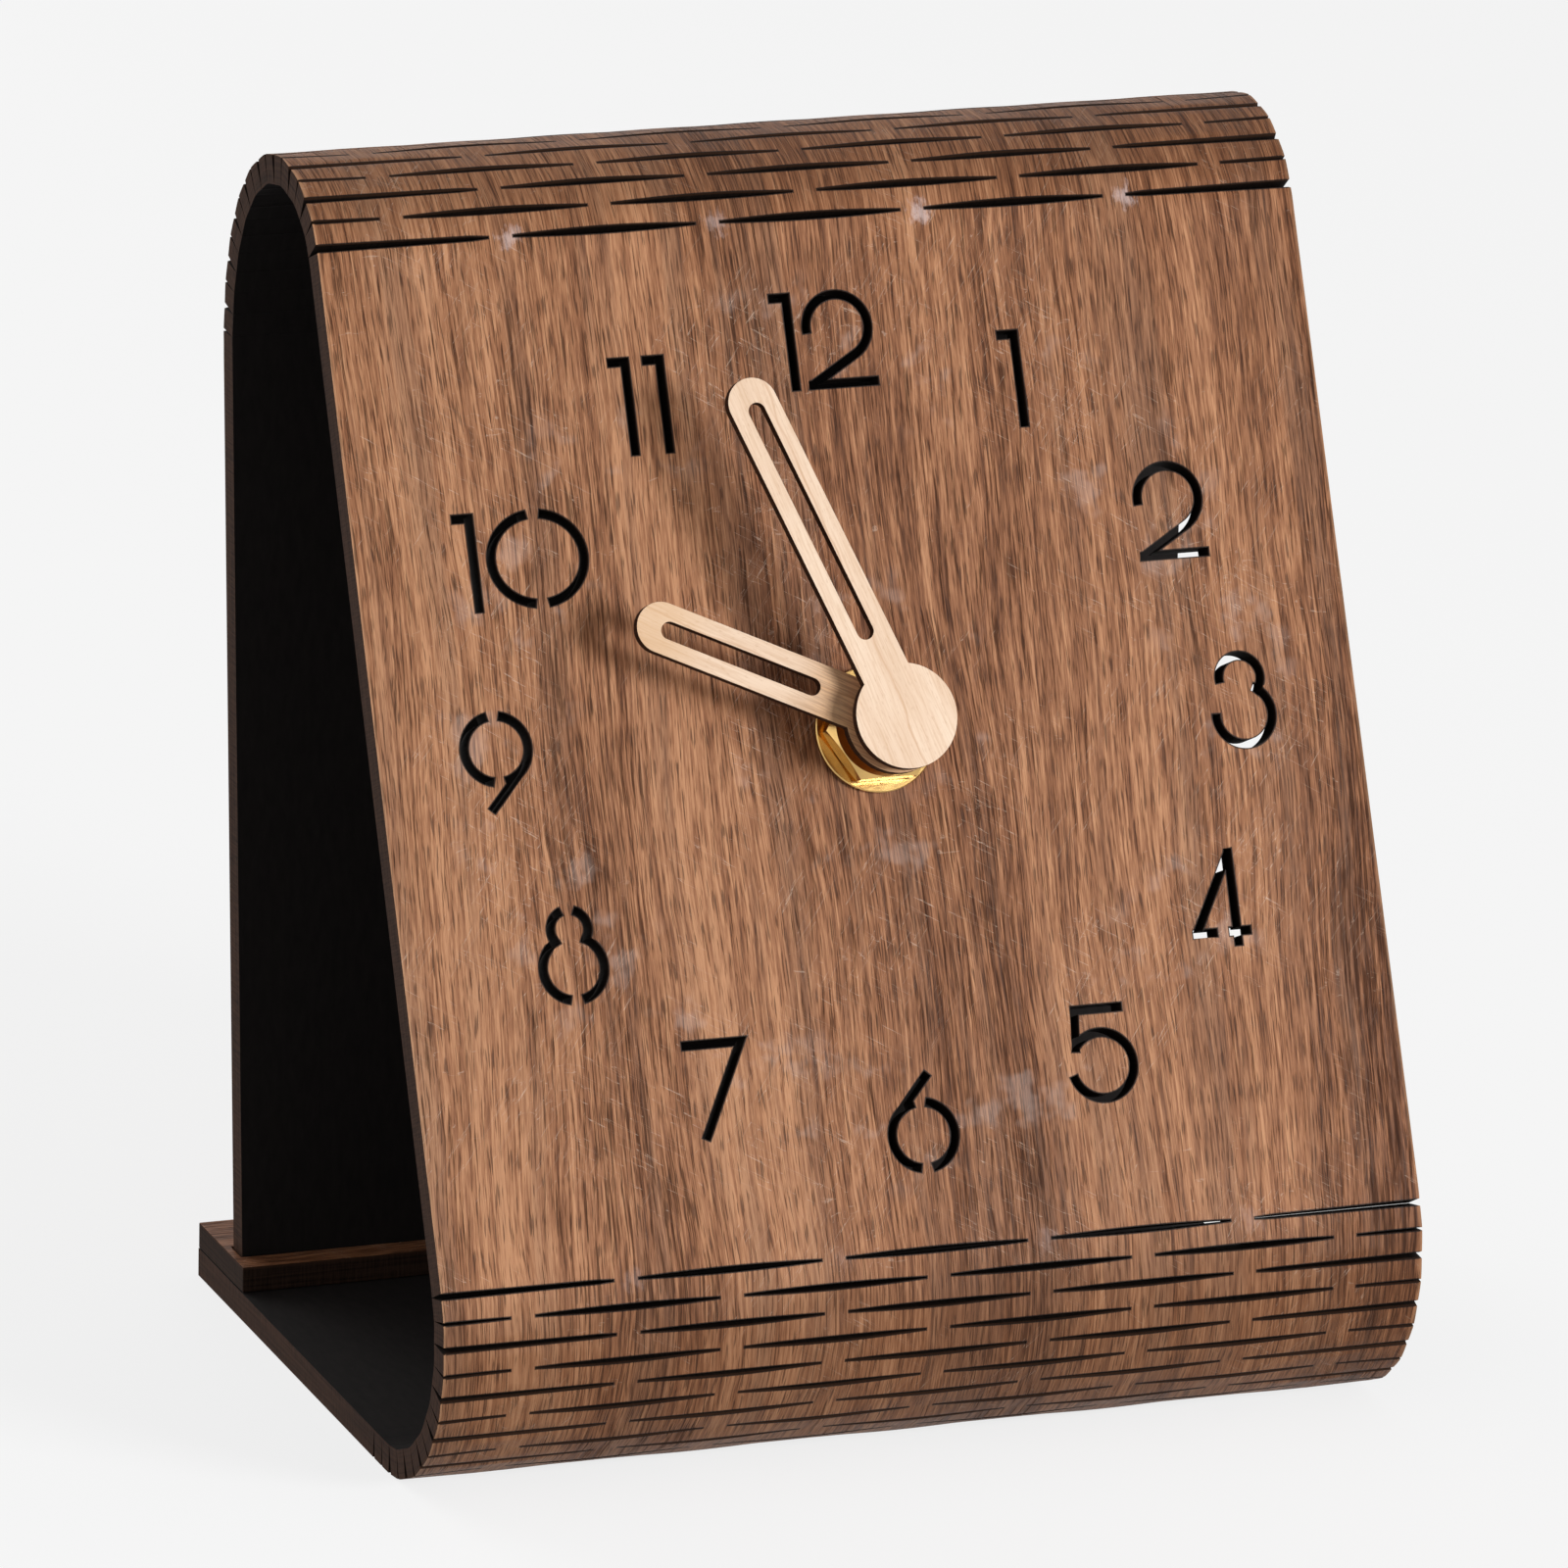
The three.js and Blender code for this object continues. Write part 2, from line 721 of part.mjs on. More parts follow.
function hexNut() {
  const corner = nutAcrossFlats / 2 / Math.cos(Math.PI / 6);
  const flat = nutAcrossFlats / 2;
  const blank = solidOf(prism(circle(corner, 6), nutLow, nutHigh));
  const profile = [[0, nutLow], [flat, nutLow], [corner, nutLow + nutChamfer],
    [corner, nutHigh - nutChamfer], [flat, nutHigh], [0, nutHigh]];
  const turned = new THREE.LatheGeometry(vectors(profile), nutSides);
  turned.rotateX(Math.PI / 2);
  const bore = rod(shaftBore, nutLow - overrun, nutHigh + overrun, roundSides);
  return cut(blank.intersect(solidOf(turned)), bore);
}

piece('hex_nut', hexNut(), finishes.brass, dial);
piece('threaded_bushing', tube(bushingRadius, bushingBore, caseFloor, bushingReach), finishes.brass, dial);
piece('rubber_washer', tube(rubberRadius, shaftBore, rubberLow, rubberHigh), finishes.rubber, dial);

// Hands: a round hub with a slotted arm, turned by an angle to the left of twelve
function handOutline(reach) {
  const half = handArmWidth / 2;
  const neck = degreesOf(Math.asin(half / handHubRadius));
  return [
    ...arc(0, reach, half, half, 0, 180),
    ...arc(0, 0, handHubRadius, handHubRadius, 90 + neck, 450 - neck),
  ];
}

function handSlot(reach) {
  const half = handSlotWidth / 2;
  const end = reach - half;
  return [...arc(0, end, half, half, 0, 180), ...arc(0, handSlotStart, half, half, 180, 360)];
}

function hand(reach, low, degrees, bores) {
  const holes = [handSlot(reach).reverse(), ...bores];
  const shape = prism(handOutline(reach), low, low + handThickness, holes);
  return shape.rotateZ(radians(degrees));
}

const minuteHandReach = numeralRingRadius - minuteHandGap;
const hourHandReach = numeralRingRadius - hourHandGap;
const pipeBore = circle(hourPipeRadius + seatGap).reverse();
const minuteHand = hand(minuteHandReach, minuteHandHeight, minuteHandDegrees, []);
const hourHand = hand(hourHandReach, hourHandHeight, hourHandDegrees, [pipeBore]);
piece('minute_hand', minuteHand, finishes.maple, dial);
piece('hour_hand', hourHand, finishes.maple, dial);

// The minute hand's bush is a blind cap on the end of the minute arbor, glued under the hub
const arborTop = minuteBushHigh - bushCapThickness - seatGap;

function minuteBush() {
  const boreHigh = minuteBushHigh - bushCapThickness;
  const bore = rod(minutePipeRadius + seatGap, minuteBushLow - overrun, boreHigh, roundSides);
  return cut(solidOf(rod(bushRadius, minuteBushLow, minuteBushHigh, roundSides)), bore);
}

piece('minute_hand_bush', minuteBush(), finishes.brass, dial);

const hourBush = tube(bushRadius, hourPipeRadius + seatGap, hourBushLow, hourBushHigh);
piece('hour_hand_bush', hourBush, finishes.brass, dial);

// A toothed outline: straight flanks, a flat on each tip and a sharp root
function toothed(teeth, module, degrees) {
  const tip = (teeth / 2 + toothTipShare) * module;
  const root = (teeth / 2 - toothRootShare) * module;
  const pitch = (2 * Math.PI) / teeth;
  const points = [];
  for (let i = 0; i < teeth; i += 1) {
    const middle = radians(degrees) + i * pitch;
    [[tip, -toothLandShare / 2], [tip, toothLandShare / 2], [root, 1 / 2]].forEach(([radius, share]) => {
      const angle = middle + share * pitch;
      points.push([radius * Math.cos(angle), radius * Math.sin(angle)]);
    });
  }
  return points;
}

// The tooth angle of the second of two meshing wheels, whose axis lies in the given direction
const facing = (degrees, teeth) => degrees + 180 + 180 / teeth;

function polar(distance, degrees) {
  return [distance * Math.cos(radians(degrees)), distance * Math.sin(radians(degrees))];
}

const motionAt = polar(motionDistance, motionDirectionDegrees);
const thirdAt = polar(trainDistance, thirdDirectionDegrees);
const intermediateAt = polar(trainDistance, intermediateDirectionDegrees);
const rotorOffset = polar(rotorDistance, rotorDirectionDegrees);
const rotorAt = [intermediateAt[0] + rotorOffset[0], intermediateAt[1] + rotorOffset[1]];

const hourModule = (2 * motionDistance) / (hourTeeth + motionPinionTeeth);
const cannonModule = (2 * motionDistance) / (cannonTeeth + motionTeeth);
const centreModule = (2 * trainDistance) / (centreTeeth + thirdPinionTeeth);
const thirdModule = (2 * trainDistance) / (thirdTeeth + secondsPinionTeeth);
const secondsModule = (2 * trainDistance) / (secondsTeeth + intermediatePinionTeeth);
const rotorModule = (2 * rotorDistance) / (intermediateTeeth + rotorPinionTeeth);

// The case leaves room round its wheels, its coil, its circuit board and its battery
const tipRadius = (teeth, module) => (teeth / 2 + toothTipShare) * module;
const [rotorX, rotorY] = rotorAt;
const statorHoleRadius = magnetRadius + magnetAirGap;
const coreY = rotorY + statorHoleRadius + magnetAirGap + bobbinClearance + bobbinFlangeHeight / 2;
const armOuter = coreLength / 2;
const middleReach = Math.max(
  tipRadius(hourTeeth, hourModule),
  tipRadius(motionTeeth, cannonModule),
  tipRadius(centreTeeth, centreModule),
);
const rightReach = Math.max(
  thirdAt[0] + tipRadius(thirdTeeth, thirdModule),
  rotorX + armOuter,
  tipRadius(centreTeeth, centreModule),
);
const leftReach = tipRadius(motionTeeth, cannonModule) - motionAt[0];
const batteryHalf = (batteryLength + batteryNubLength) / 2;
const cavitySide = Math.max(
  batteryHalf + contactBulge + contactThickness + 2 * seatGap,
  rightReach + wheelClearance + circuitWidth + seatGap,
  leftReach + wheelClearance,
);
const cavityTop = coreY + bobbinFlangeHeight / 2 + coilClearance;
const roomLow = -middleReach - wheelClearance;
const bayHigh = roomLow - caseRib;
const batteryY = bayHigh - batteryClearance - batteryRadius;
const bayLow = batteryY - batteryRadius - batteryClearance;
const caseWidth = 2 * (cavitySide + caseWall);
const caseTop = cavityTop + caseWall;
const caseFoot = bayLow - caseWall;

function wheelAt([x, y]) {
  const group = new THREE.Group();
  group.position.set(x, y, 0);
  dial.add(group);
  return group;
}

function toothedDisc(teeth, module, degrees, layer) {
  return prism(toothed(teeth, module, degrees), layerLow(layer), layerTop(layer));
}

// Pivots run in blind holes in the case's floor and in the back cover
const pivotHigh = caseFloor + pivotHoleDepth - pivotClearance;
const pivotLow = coverHigh - pivotHoleDepth + pivotClearance;

const hourWheel = cut(
  join(
    toothedDisc(hourTeeth, hourModule, motionDirectionDegrees, 'hour'),
    rod(hourPipeRadius, layerLow('hour'), pipeTop, roundSides),
  ),
  rod(hourPipeBore, layerLow('hour') - overrun, pipeTop + overrun, roundSides),
);
piece('hour_wheel', hourWheel, finishes.whitePlastic, dial);

const minuteArbor = cut(
  join(
    toothedDisc(cannonTeeth, cannonModule, motionDirectionDegrees, 'motion'),
    rod(minutePipeRadius, layerLow('centre'), arborTop, roundSides),
  ),
  rod(minutePipeBore, layerLow('centre') - overrun, arborTop + overrun),
);
piece('minute_arbor', minuteArbor, finishes.brass, dial);

// The motion wheel and its pinion sit on the stem of the setting knob
const motionWheel = cut(
  join(
    toothedDisc(motionPinionTeeth, hourModule, facing(motionDirectionDegrees, motionPinionTeeth), 'hour'),
    toothedDisc(motionTeeth, cannonModule, facing(motionDirectionDegrees, motionTeeth), 'motion'),
    rod(hubRadius + knobStemRadius / 2, layerLow('motion'), layerTop('hour')),
  ),
  rod(knobStemRadius + seatGap / 2, layerLow('motion') - overrun, layerTop('hour') + overrun),
);
piece('motion_wheel', motionWheel, finishes.whitePlastic, wheelAt(motionAt));

const knobHigh = caseLow - runGap;
const knobLow = knobHigh - knobThickness;

function knobOutline() {
  const points = [];
  for (let i = 0; i < 2 * knobGrips; i += 1) {
    const radius = knobRadius - (i % 2 ? knobGripDepth : 0);
    const angle = (Math.PI * i) / knobGrips;
    points.push([radius * Math.cos(angle), radius * Math.sin(angle)]);
  }
  return points;
}

const knobGrooveOuter = knobRadius - rimWidth;
const knobGrooveInner = knobStemRadius + rimWidth;
const settingKnob = cut(
  join(prism(knobOutline(), knobLow, knobHigh), rod(knobStemRadius, knobLow, pivotHigh)),
  tube(knobGrooveOuter, knobGrooveInner, knobLow - overrun, knobLow + rimDepth),
);
piece('set_knob', settingKnob, finishes.whitePlastic, wheelAt(motionAt));

// Stepping train
const centreWheel = cut(
  solidOf(toothedDisc(centreTeeth, centreModule, thirdDirectionDegrees, 'centre')),
  rod(minutePipeRadius + seatGap, layerLow('centre') - overrun, layerTop('centre') + overrun, roundSides),
);
piece('centre_wheel', centreWheel, finishes.brass, dial);

const thirdWheel = join(
  toothedDisc(thirdPinionTeeth, centreModule, facing(thirdDirectionDegrees, thirdPinionTeeth), 'centre'),
  toothedDisc(thirdTeeth, thirdModule, facing(thirdDirectionDegrees, thirdTeeth), 'third'),
  rod(arborRadius, pivotLow, pivotHigh),
);
piece('third_wheel', thirdWheel, finishes.whitePlastic, wheelAt(thirdAt));

const secondsWheel = join(
  toothedDisc(secondsPinionTeeth, thirdModule, thirdDirectionDegrees, 'third'),
  toothedDisc(secondsTeeth, secondsModule, intermediateDirectionDegrees, 'seconds'),
  rod(secondsArborRadius, pivotLow, arborTop),
  rod(hubRadius, layerLow('seconds'), layerTop('third')),
);
piece('seconds_wheel', secondsWheel, finishes.whitePlastic, dial);

const intermediatePinionDegrees = facing(intermediateDirectionDegrees, intermediatePinionTeeth);
const intermediateWheel = join(
  toothedDisc(intermediatePinionTeeth, secondsModule, intermediatePinionDegrees, 'seconds'),
  toothedDisc(intermediateTeeth, rotorModule, rotorDirectionDegrees, 'rotor'),
  rod(arborRadius, pivotLow, pivotHigh),
);
piece('intermediate_wheel', intermediateWheel, finishes.whitePlastic, wheelAt(intermediateAt));

// The rotor is a magnet in a plastic hub, with its pinion behind the stator
const rotor = join(
  rod(magnetRadius, magnetMiddle - magnetThickness / 2, magnetMiddle + magnetThickness / 2),
  toothedDisc(rotorPinionTeeth, rotorModule, facing(rotorDirectionDegrees, rotorPinionTeeth), 'rotor'),
  rod(arborRadius, pivotLow, pivotHigh),
);
piece('rotor', rotor, finishes.steel, wheelAt(rotorAt));

// Stator plate with the coil's core lying across its two arms
const statorFoot = rotorY - statorHoleRadius - statorRing;
const armInner = bobbinLength / 2 + seatGap;
const yokeTop = rotorY + statorHoleRadius;

function statorPlate() {
  const outline = [
    [rotorX - armOuter, yokeTop - statorRing], [rotorX - statorHoleRadius - statorRing, statorFoot],
    [rotorX + statorHoleRadius + statorRing, statorFoot], [rotorX + armOuter, yokeTop - statorRing],
    [rotorX + armOuter, coreY + coreWidth / 2], [rotorX + armInner, coreY + coreWidth / 2],
    [rotorX + armInner, yokeTop], [rotorX + statorHoleRadius, yokeTop],
    [rotorX + magnetAirGap, rotorY + statorHoleRadius + magnetAirGap],
    [rotorX - magnetAirGap, rotorY + statorHoleRadius + magnetAirGap],
    [rotorX - statorHoleRadius, yokeTop], [rotorX - armInner, yokeTop],
    [rotorX - armInner, coreY + coreWidth / 2], [rotorX - armOuter, coreY + coreWidth / 2],
  ];
  const magnetHole = circle(statorHoleRadius, roundSides, rotorX, rotorY).reverse();
  return prism(outline, statorLow, statorHigh, [magnetHole]);
}

piece('stator', statorPlate(), finishes.steel, dial);

const coreOutline = rectangle(coreLength, coreWidth, rotorX, coreY);
piece('coil_core', prism(coreOutline, coreLow, coreHigh), finishes.steel, dial);

// The bobbin and its winding are drawn on end and then laid along the core
function laidAlongCore(geometry) {
  geometry.rotateY(Math.PI / 2);
  geometry.translate(rotorX, coreY, coreMiddle);
  return geometry;
}

const boreAcross = coreThickness + 2 * seatGap;
const boreAlong = coreWidth + 2 * seatGap;
const barrelAcross = boreAcross + 2 * bobbinWall;
const barrelAlong = boreAlong + 2 * bobbinWall;

function coilBobbin() {
  const half = bobbinLength / 2;
  const flange = rectangle(bobbinFlangeHeight, bobbinFlangeHeight);
  const body = join(
    laidAlongCore(prism(rectangle(barrelAcross, barrelAlong), -half, half)),
    laidAlongCore(prism(flange, -half, -half + bobbinFlange)),
    laidAlongCore(prism(flange, half - bobbinFlange, half)),
  );
  const bore = prism(rectangle(boreAcross, boreAlong), -half - overrun, half + overrun);
  return cut(body, laidAlongCore(bore));
}

function coilWinding() {
  const half = bobbinLength / 2 - bobbinFlange - seatGap;
  const innerAcross = barrelAcross + 2 * seatGap;
  const innerAlong = barrelAlong + 2 * seatGap;
  const outer = rectangle(innerAcross + 2 * windingDepth, innerAlong + 2 * windingDepth);
  return laidAlongCore(prism(outer, -half, half, [rectangle(innerAcross, innerAlong).reverse()]));
}

piece('coil_bobbin', coilBobbin(), finishes.whitePlastic, dial);
piece('coil_winding', coilWinding(), finishes.copper, dial);

// Circuit board on two posts at the right of the case
const circuitX = cavitySide - seatGap - circuitWidth / 2;
const circuitY = roomLow + seatGap + circuitLength / 2;
const circuitHigh = caseFloor - circuitHeight;
const circuitLow = circuitHigh - circuitThickness;
const circuitOutline = rectangle(circuitWidth, circuitLength, circuitX, circuitY);
piece('circuit_board', prism(circuitOutline, circuitLow, circuitHigh), finishes.circuit, dial);

const crystal = rod(crystalRadius, -crystalLength / 2, crystalLength / 2);
crystal.rotateX(Math.PI / 2);
crystal.translate(circuitX, circuitY + circuitLength / 4, circuitLow - seatGap - crystalRadius);
piece('quartz_crystal', crystal, finishes.steel, dial);

function clockChip() {
  const profile = [[0, 0], [chipRadius, 0]];
  const steps = 4;
  for (let i = 1; i <= steps; i += 1) {
    const angle = (Math.PI / 2) * (i / steps);
    profile.push([i === steps ? 0 : chipRadius * Math.cos(angle), chipHeight * Math.sin(angle)]);
  }
  const dome = new THREE.LatheGeometry(vectors(profile), smallSides);
  dome.rotateX(-Math.PI / 2);
  dome.translate(circuitX, circuitY - circuitLength / 4, circuitLow - seatGap);
  return dome;
}

piece('clock_chip', clockChip(), finishes.blackPlastic, dial);

// Battery, lying across the case in its bay, and its two contacts
function batteryShape() {
  const half = batteryHalf;
  const shoulder = half - batteryNubLength;
  const profile = [
    [0, -half], [batteryRadius - batteryEdge, -half], [batteryRadius, -half + batteryEdge],
    [batteryRadius, shoulder - batteryEdge], [batteryRadius - batteryEdge, shoulder],
    [batteryNubRadius, shoulder], [batteryNubRadius, half], [0, half],
  ];
  const turned = new THREE.LatheGeometry(vectors(profile), roundSides);
  turned.rotateZ(-Math.PI / 2);
  turned.translate(0, batteryY, batteryZ);
  return turned;
}

piece('battery', batteryShape(), finishes.battery, dial);

// The contacts press their middles towards the battery's ends from just inside the case's walls
const contactX = cavitySide - seatGap;

function contactStrip(side) {
  const inner = contactX - contactThickness;
  const bulge = inner - batteryHalf - seatGap;
  const half = contactHeight / 2;
  const bend = half / 2;
  const outline = [
    [contactX, -half], [contactX, half], [inner, half], [inner, bend],
    [inner - bulge, contactThickness], [inner - bulge, -contactThickness], [inner, -bend], [inner, -half],
  ];
  const points = outline.map(([x, z]) => [side * x, z]);
  const strip = prism(side > 0 ? points : points.reverse(), -contactWidth / 2, contactWidth / 2);
  strip.rotateX(Math.PI / 2);
  strip.translate(0, batteryY, batteryZ);
  return strip;
}

piece('contact_positive', contactStrip(1), finishes.steel, dial);
piece('contact_negative', contactStrip(-1), finishes.steel, dial);

// Movement case: a tray with a floor towards the face, a wheel room and an open battery bay
function floorHole(radius, [x, y]) {
  return rod(radius + pivotClearance, caseFloor - overrun, caseFloor + pivotHoleDepth, smallSides, x, y);
}

function caseTray() {
  const caseHeight = caseTop - caseFoot;
  const outer = roundedRectangle(caseWidth, caseHeight, caseCorner, 3, 0, (caseTop + caseFoot) / 2);
  const inner = 2 * cavitySide;
  const room = rectangle(inner, cavityTop - roomLow, 0, (cavityTop + roomLow) / 2);
  const bay = rectangle(inner, bayHigh - bayLow, 0, batteryY);
  const lid = rectangle(caseWidth + 2 * overrun, caseHeight, 0, bayHigh + caseHeight / 2);
  const hollow = [room, bay].map((outline) => prism(outline, caseLow - overrun, caseFloor));
  const lidSeat = prism(lid, caseLow - overrun, coverHigh + seatGap);
  const shell = cut(solidOf(prism(outer, caseLow, caseHigh)), ...hollow, lidSeat);
  const statorPosts = [-1, 1].map((side) => {
    const x = rotorX + side * (armInner + armOuter) / 2;
    return rod(postRadius, statorHigh + seatGap, caseFloor + caseWall / 2, smallSides, x, coreY);
  });
  const circuitPosts = [-1, 1].map((side) => {
    const y = circuitY + side * (circuitLength / 2 - postRadius);
    return rod(postRadius, circuitHigh + seatGap, caseFloor + caseWall / 2, smallSides, circuitX, y);
  });
  const posts = [...statorPosts, ...circuitPosts].map(solidOf);
  const withPosts = posts.reduce((whole, post) => whole.add(post), shell);
  const pivots = [thirdAt, intermediateAt, rotorAt].map((at) => floorHole(arborRadius, at));
  const shaftHole = rod(shaftBore, caseFloor - overrun, caseHigh + overrun, roundSides);
  return cut(withPosts, ...pivots, floorHole(knobStemRadius, motionAt), shaftHole);
}

piece('movement_case', caseTray(), finishes.blackPlastic, dial);

function caseCover() {
  const low = bayHigh + seatGap;
  const side = caseWidth / 2;
  const corner = caseCorner;
  const outline = [
    [-side, low], [side, low],
    ...arc(side - corner, caseTop - corner, corner, corner, 0, 90),
    ...arc(-side + corner, caseTop - corner, corner, corner, 90, 180),
  ];
  const pivotHole = arborRadius + pivotClearance;
  const pivots = [thirdAt, intermediateAt, rotorAt, [0, 0]].map(([x, y]) => (
    rod(pivotHole, coverHigh - pivotHoleDepth, coverHigh + overrun, smallSides, x, y)));
  const stemRadius = knobStemRadius + runGap;
  const stemHole = rod(stemRadius, caseLow - overrun, coverHigh + overrun, smallSides, ...motionAt);
  return cut(solidOf(prism(outline, caseLow, coverHigh)), ...pivots, stemHole);
}

piece('movement_back_cover', caseCover(), finishes.blackPlastic, dial);

export default clock;
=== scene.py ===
import math
from collections import namedtuple

import bmesh
import bpy
from mathutils import Matrix, Vector
from mathutils.geometry import delaunay_2d_cdt

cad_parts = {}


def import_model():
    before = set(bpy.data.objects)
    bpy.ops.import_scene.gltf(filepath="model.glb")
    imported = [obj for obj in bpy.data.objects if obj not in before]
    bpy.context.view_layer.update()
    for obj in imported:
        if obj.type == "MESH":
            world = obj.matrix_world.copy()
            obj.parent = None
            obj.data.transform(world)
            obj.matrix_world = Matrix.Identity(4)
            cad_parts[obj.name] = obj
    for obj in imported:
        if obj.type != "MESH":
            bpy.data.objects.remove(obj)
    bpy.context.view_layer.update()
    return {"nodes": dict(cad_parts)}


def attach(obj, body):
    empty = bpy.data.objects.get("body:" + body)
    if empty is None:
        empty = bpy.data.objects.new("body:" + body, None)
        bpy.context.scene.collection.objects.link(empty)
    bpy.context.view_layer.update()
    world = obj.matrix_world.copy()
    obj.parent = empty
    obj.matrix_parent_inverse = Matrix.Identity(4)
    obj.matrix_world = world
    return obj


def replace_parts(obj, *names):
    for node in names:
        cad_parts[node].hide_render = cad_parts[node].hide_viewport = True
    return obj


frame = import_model()
nodes = frame["nodes"]
scene = bpy.context.scene

# All lengths below are in millimetres and are turned into metres where a mesh is made
MM = 0.001
TOLERANCE = 0.01

# Board, as in the part's source
BOARD_WIDTH = 140.0
HALF_WIDTH = BOARD_WIDTH / 2
THICKNESS = 4.0
HALF_THICKNESS = THICKNESS / 2
BASE_LENGTH = 79.0
FACE_LENGTH = 140.5
FACE_TILT = math.radians(24.15)
BACK_LEAN = math.radians(1.5)
BOTTOM_TURN = math.pi / 2 + FACE_TILT
TOP_TURN = math.pi - FACE_TILT + BACK_LEAN
PANEL_FOOT_INSET = 1.5
SHAFT_HOLE_RADIUS = 4.3
KERF_PITCH = 3.35
BOTTOM_ROWS = 13
TOP_ROWS = 18
FLAT_ROWS = 2
TOP_TIGHTENING = 0.49
KERF_PERIOD = 29.4
KERF_BRIDGE = 3.5
KERF_LENGTH = KERF_PERIOD - KERF_BRIDGE
KERF_WIDTH = 0.45
KERF_EDGE_WIDTH = 0.4
KERF_END_WIDTH = 0.2
FOOT_BAR_DEPTH = 20.5
FOOT_BAR_THICKNESS = 3.7
SLOT_CLEARANCE = 0.3
GLUE_LINE = 0.1
NUMERAL_HEIGHT = 13.3
NUMERAL_STROKE = 1.15
NUMERAL_RING_RADIUS = 53.4
LETTER_GAP = 0.6
ELEVEN_GAP = 1.9
OVERRUN = 1.0

# In the scene only: the strips between the cuts bow, and the cuts are narrower on the inner face
STRIP_BOW = 0.12
INNER_CUT_SHARE = 0.4
OPEN_CUT_SHARE = 0.06
OPEN_CUTS_FROM = KERF_PERIOD * 1.5
OPEN_CUT_TAPER = 2.5
MOUTH_DEPTH = 0.4
MOUTH_FLARE = 0.1
CUT_STEPS = 14
CUT_ROUNDING = 0.9
LINES_PER_PITCH = 4
LINE_STEP = KERF_PERIOD / 6

# How far the browned rim reaches past each cut
KERF_SCORCH = 0.21
NUMERAL_SCORCH = 0.25
HOLE_SCORCH = 0.3


# The board's path, seen from the side

Row = namedtuple("Row", "s y z turn heading band centred bows")


def top_row_turn(row):
    even = TOP_TURN / TOP_ROWS
    return even * (1 + TOP_TIGHTENING * (1 - 2 * row / (TOP_ROWS - 1)))


def outward(heading):
    """The direction from the inner face to the outer one, where the board runs at a heading."""
    return -math.sin(heading), math.cos(heading)


class Path:
    """The middle of the board as straight legs and one small arc at each row of cuts."""

    def __init__(self):
        self.rows = []
        self.legs = []
        self.heading = math.pi
        self.y = BASE_LENGTH / 2
        self.z = HALF_THICKNESS
        self.s = 0.0
        self.leg(BASE_LENGTH)
        self.bend([0.0] * FLAT_ROWS + [BOTTOM_TURN / BOTTOM_ROWS] * BOTTOM_ROWS, "bottom")
        self.face_s = self.s
        self.leg(FACE_LENGTH)
        self.bend([top_row_turn(row) for row in range(TOP_ROWS)], "top")
        self.panel_s = self.s
        foot = THICKNESS + GLUE_LINE + HALF_THICKNESS * math.sin(BACK_LEAN)
        self.leg((self.z - foot) / math.cos(BACK_LEAN))
        self.panel_foot_y = self.y
        self.end_s = self.s

    def advance(self, distance):
        self.y += distance * math.cos(self.heading)
        self.z += distance * math.sin(self.heading)
        self.s += distance

    def leg(self, length):
        self.legs.append((self.s, self.y, self.z, self.heading))
        self.advance(length)

    def bend(self, turns, band):
        """Rows of cuts a pitch apart. Every second row from the face has a cut at its middle."""
        beside_face = len(turns) - 1 if band == "bottom" else 0
        for i, turn in enumerate(turns):
            if i:
                self.advance(KERF_PITCH)
            centred = (i - beside_face) % 2 == 0
            bows = turn > 0 and len(self.rows) != FLAT_ROWS
            heading = self.heading - turn / 2
            self.rows.append(Row(self.s, self.y, self.z, turn, heading, band, centred, bows))
            self.heading -= turn

    def band(self, name):
        return [row for row in self.rows if row.band == name]

    def row_at(self, s):
        return min(self.rows, key=lambda row: abs(row.s - s))

    def place(self, s, n):
        """The y and z at a run s along the board and a height n above its middle plane."""
        row = self.row_at(s)
        run = s - row.s
        if row.turn > 0 and abs(run) < KERF_PITCH / 2 + TOLERANCE:
            radius = KERF_PITCH / 2 / math.tan(row.turn / 2)
            pull = radius / math.cos(row.turn / 2)
            reach = radius + n
            mid_y, mid_z = outward(row.heading)
            out_y, out_z = outward(row.heading - row.turn * run / KERF_PITCH)
            return row.y - mid_y * pull + out_y * reach, row.z - mid_z * pull + out_z * reach
        first_turns = (self.rows[FLAT_ROWS].s, self.band("top")[0].s)
        leg_s, y, z, heading = self.legs[sum(s > turn_s for turn_s in first_turns)]
        along = s - leg_s
        out_y, out_z = outward(heading)
        return y + along * math.cos(heading) + n * out_y, z + along * math.sin(heading) + n * out_z


path = Path()
face_middle_s = path.face_s + FACE_LENGTH / 2
DIAL = Vector((0.0, *path.place(face_middle_s, HALF_THICKNESS))) * MM
dial_frame = Matrix.Translation(DIAL) @ Matrix.Rotation(math.pi / 2 - FACE_TILT, 4, "X")


# Node graphs

# A layer of noise: its features per millimetre along x, y and z, and where in the noise it starts
Layer = namedtuple("Layer", "scale detail roughness seat distortion",
                   defaults=(2.0, 0.5, (0.0, 0.0, 0.0), 0.0))

# Places of sockets on Blender's node that mixes two colours
MIX_COLOUR_A = 6
MIX_COLOUR_B = 7
MIX_RESULT = 2

WHITE = (1.0, 1.0, 1.0, 1.0)


def srgb(red, green, blue):
    def linear(value):
        share = value / 255
        return share / 12.92 if share <= 0.04045 else ((share + 0.055) / 1.055) ** 2.4
    return linear(red), linear(green), linear(blue), 1.0


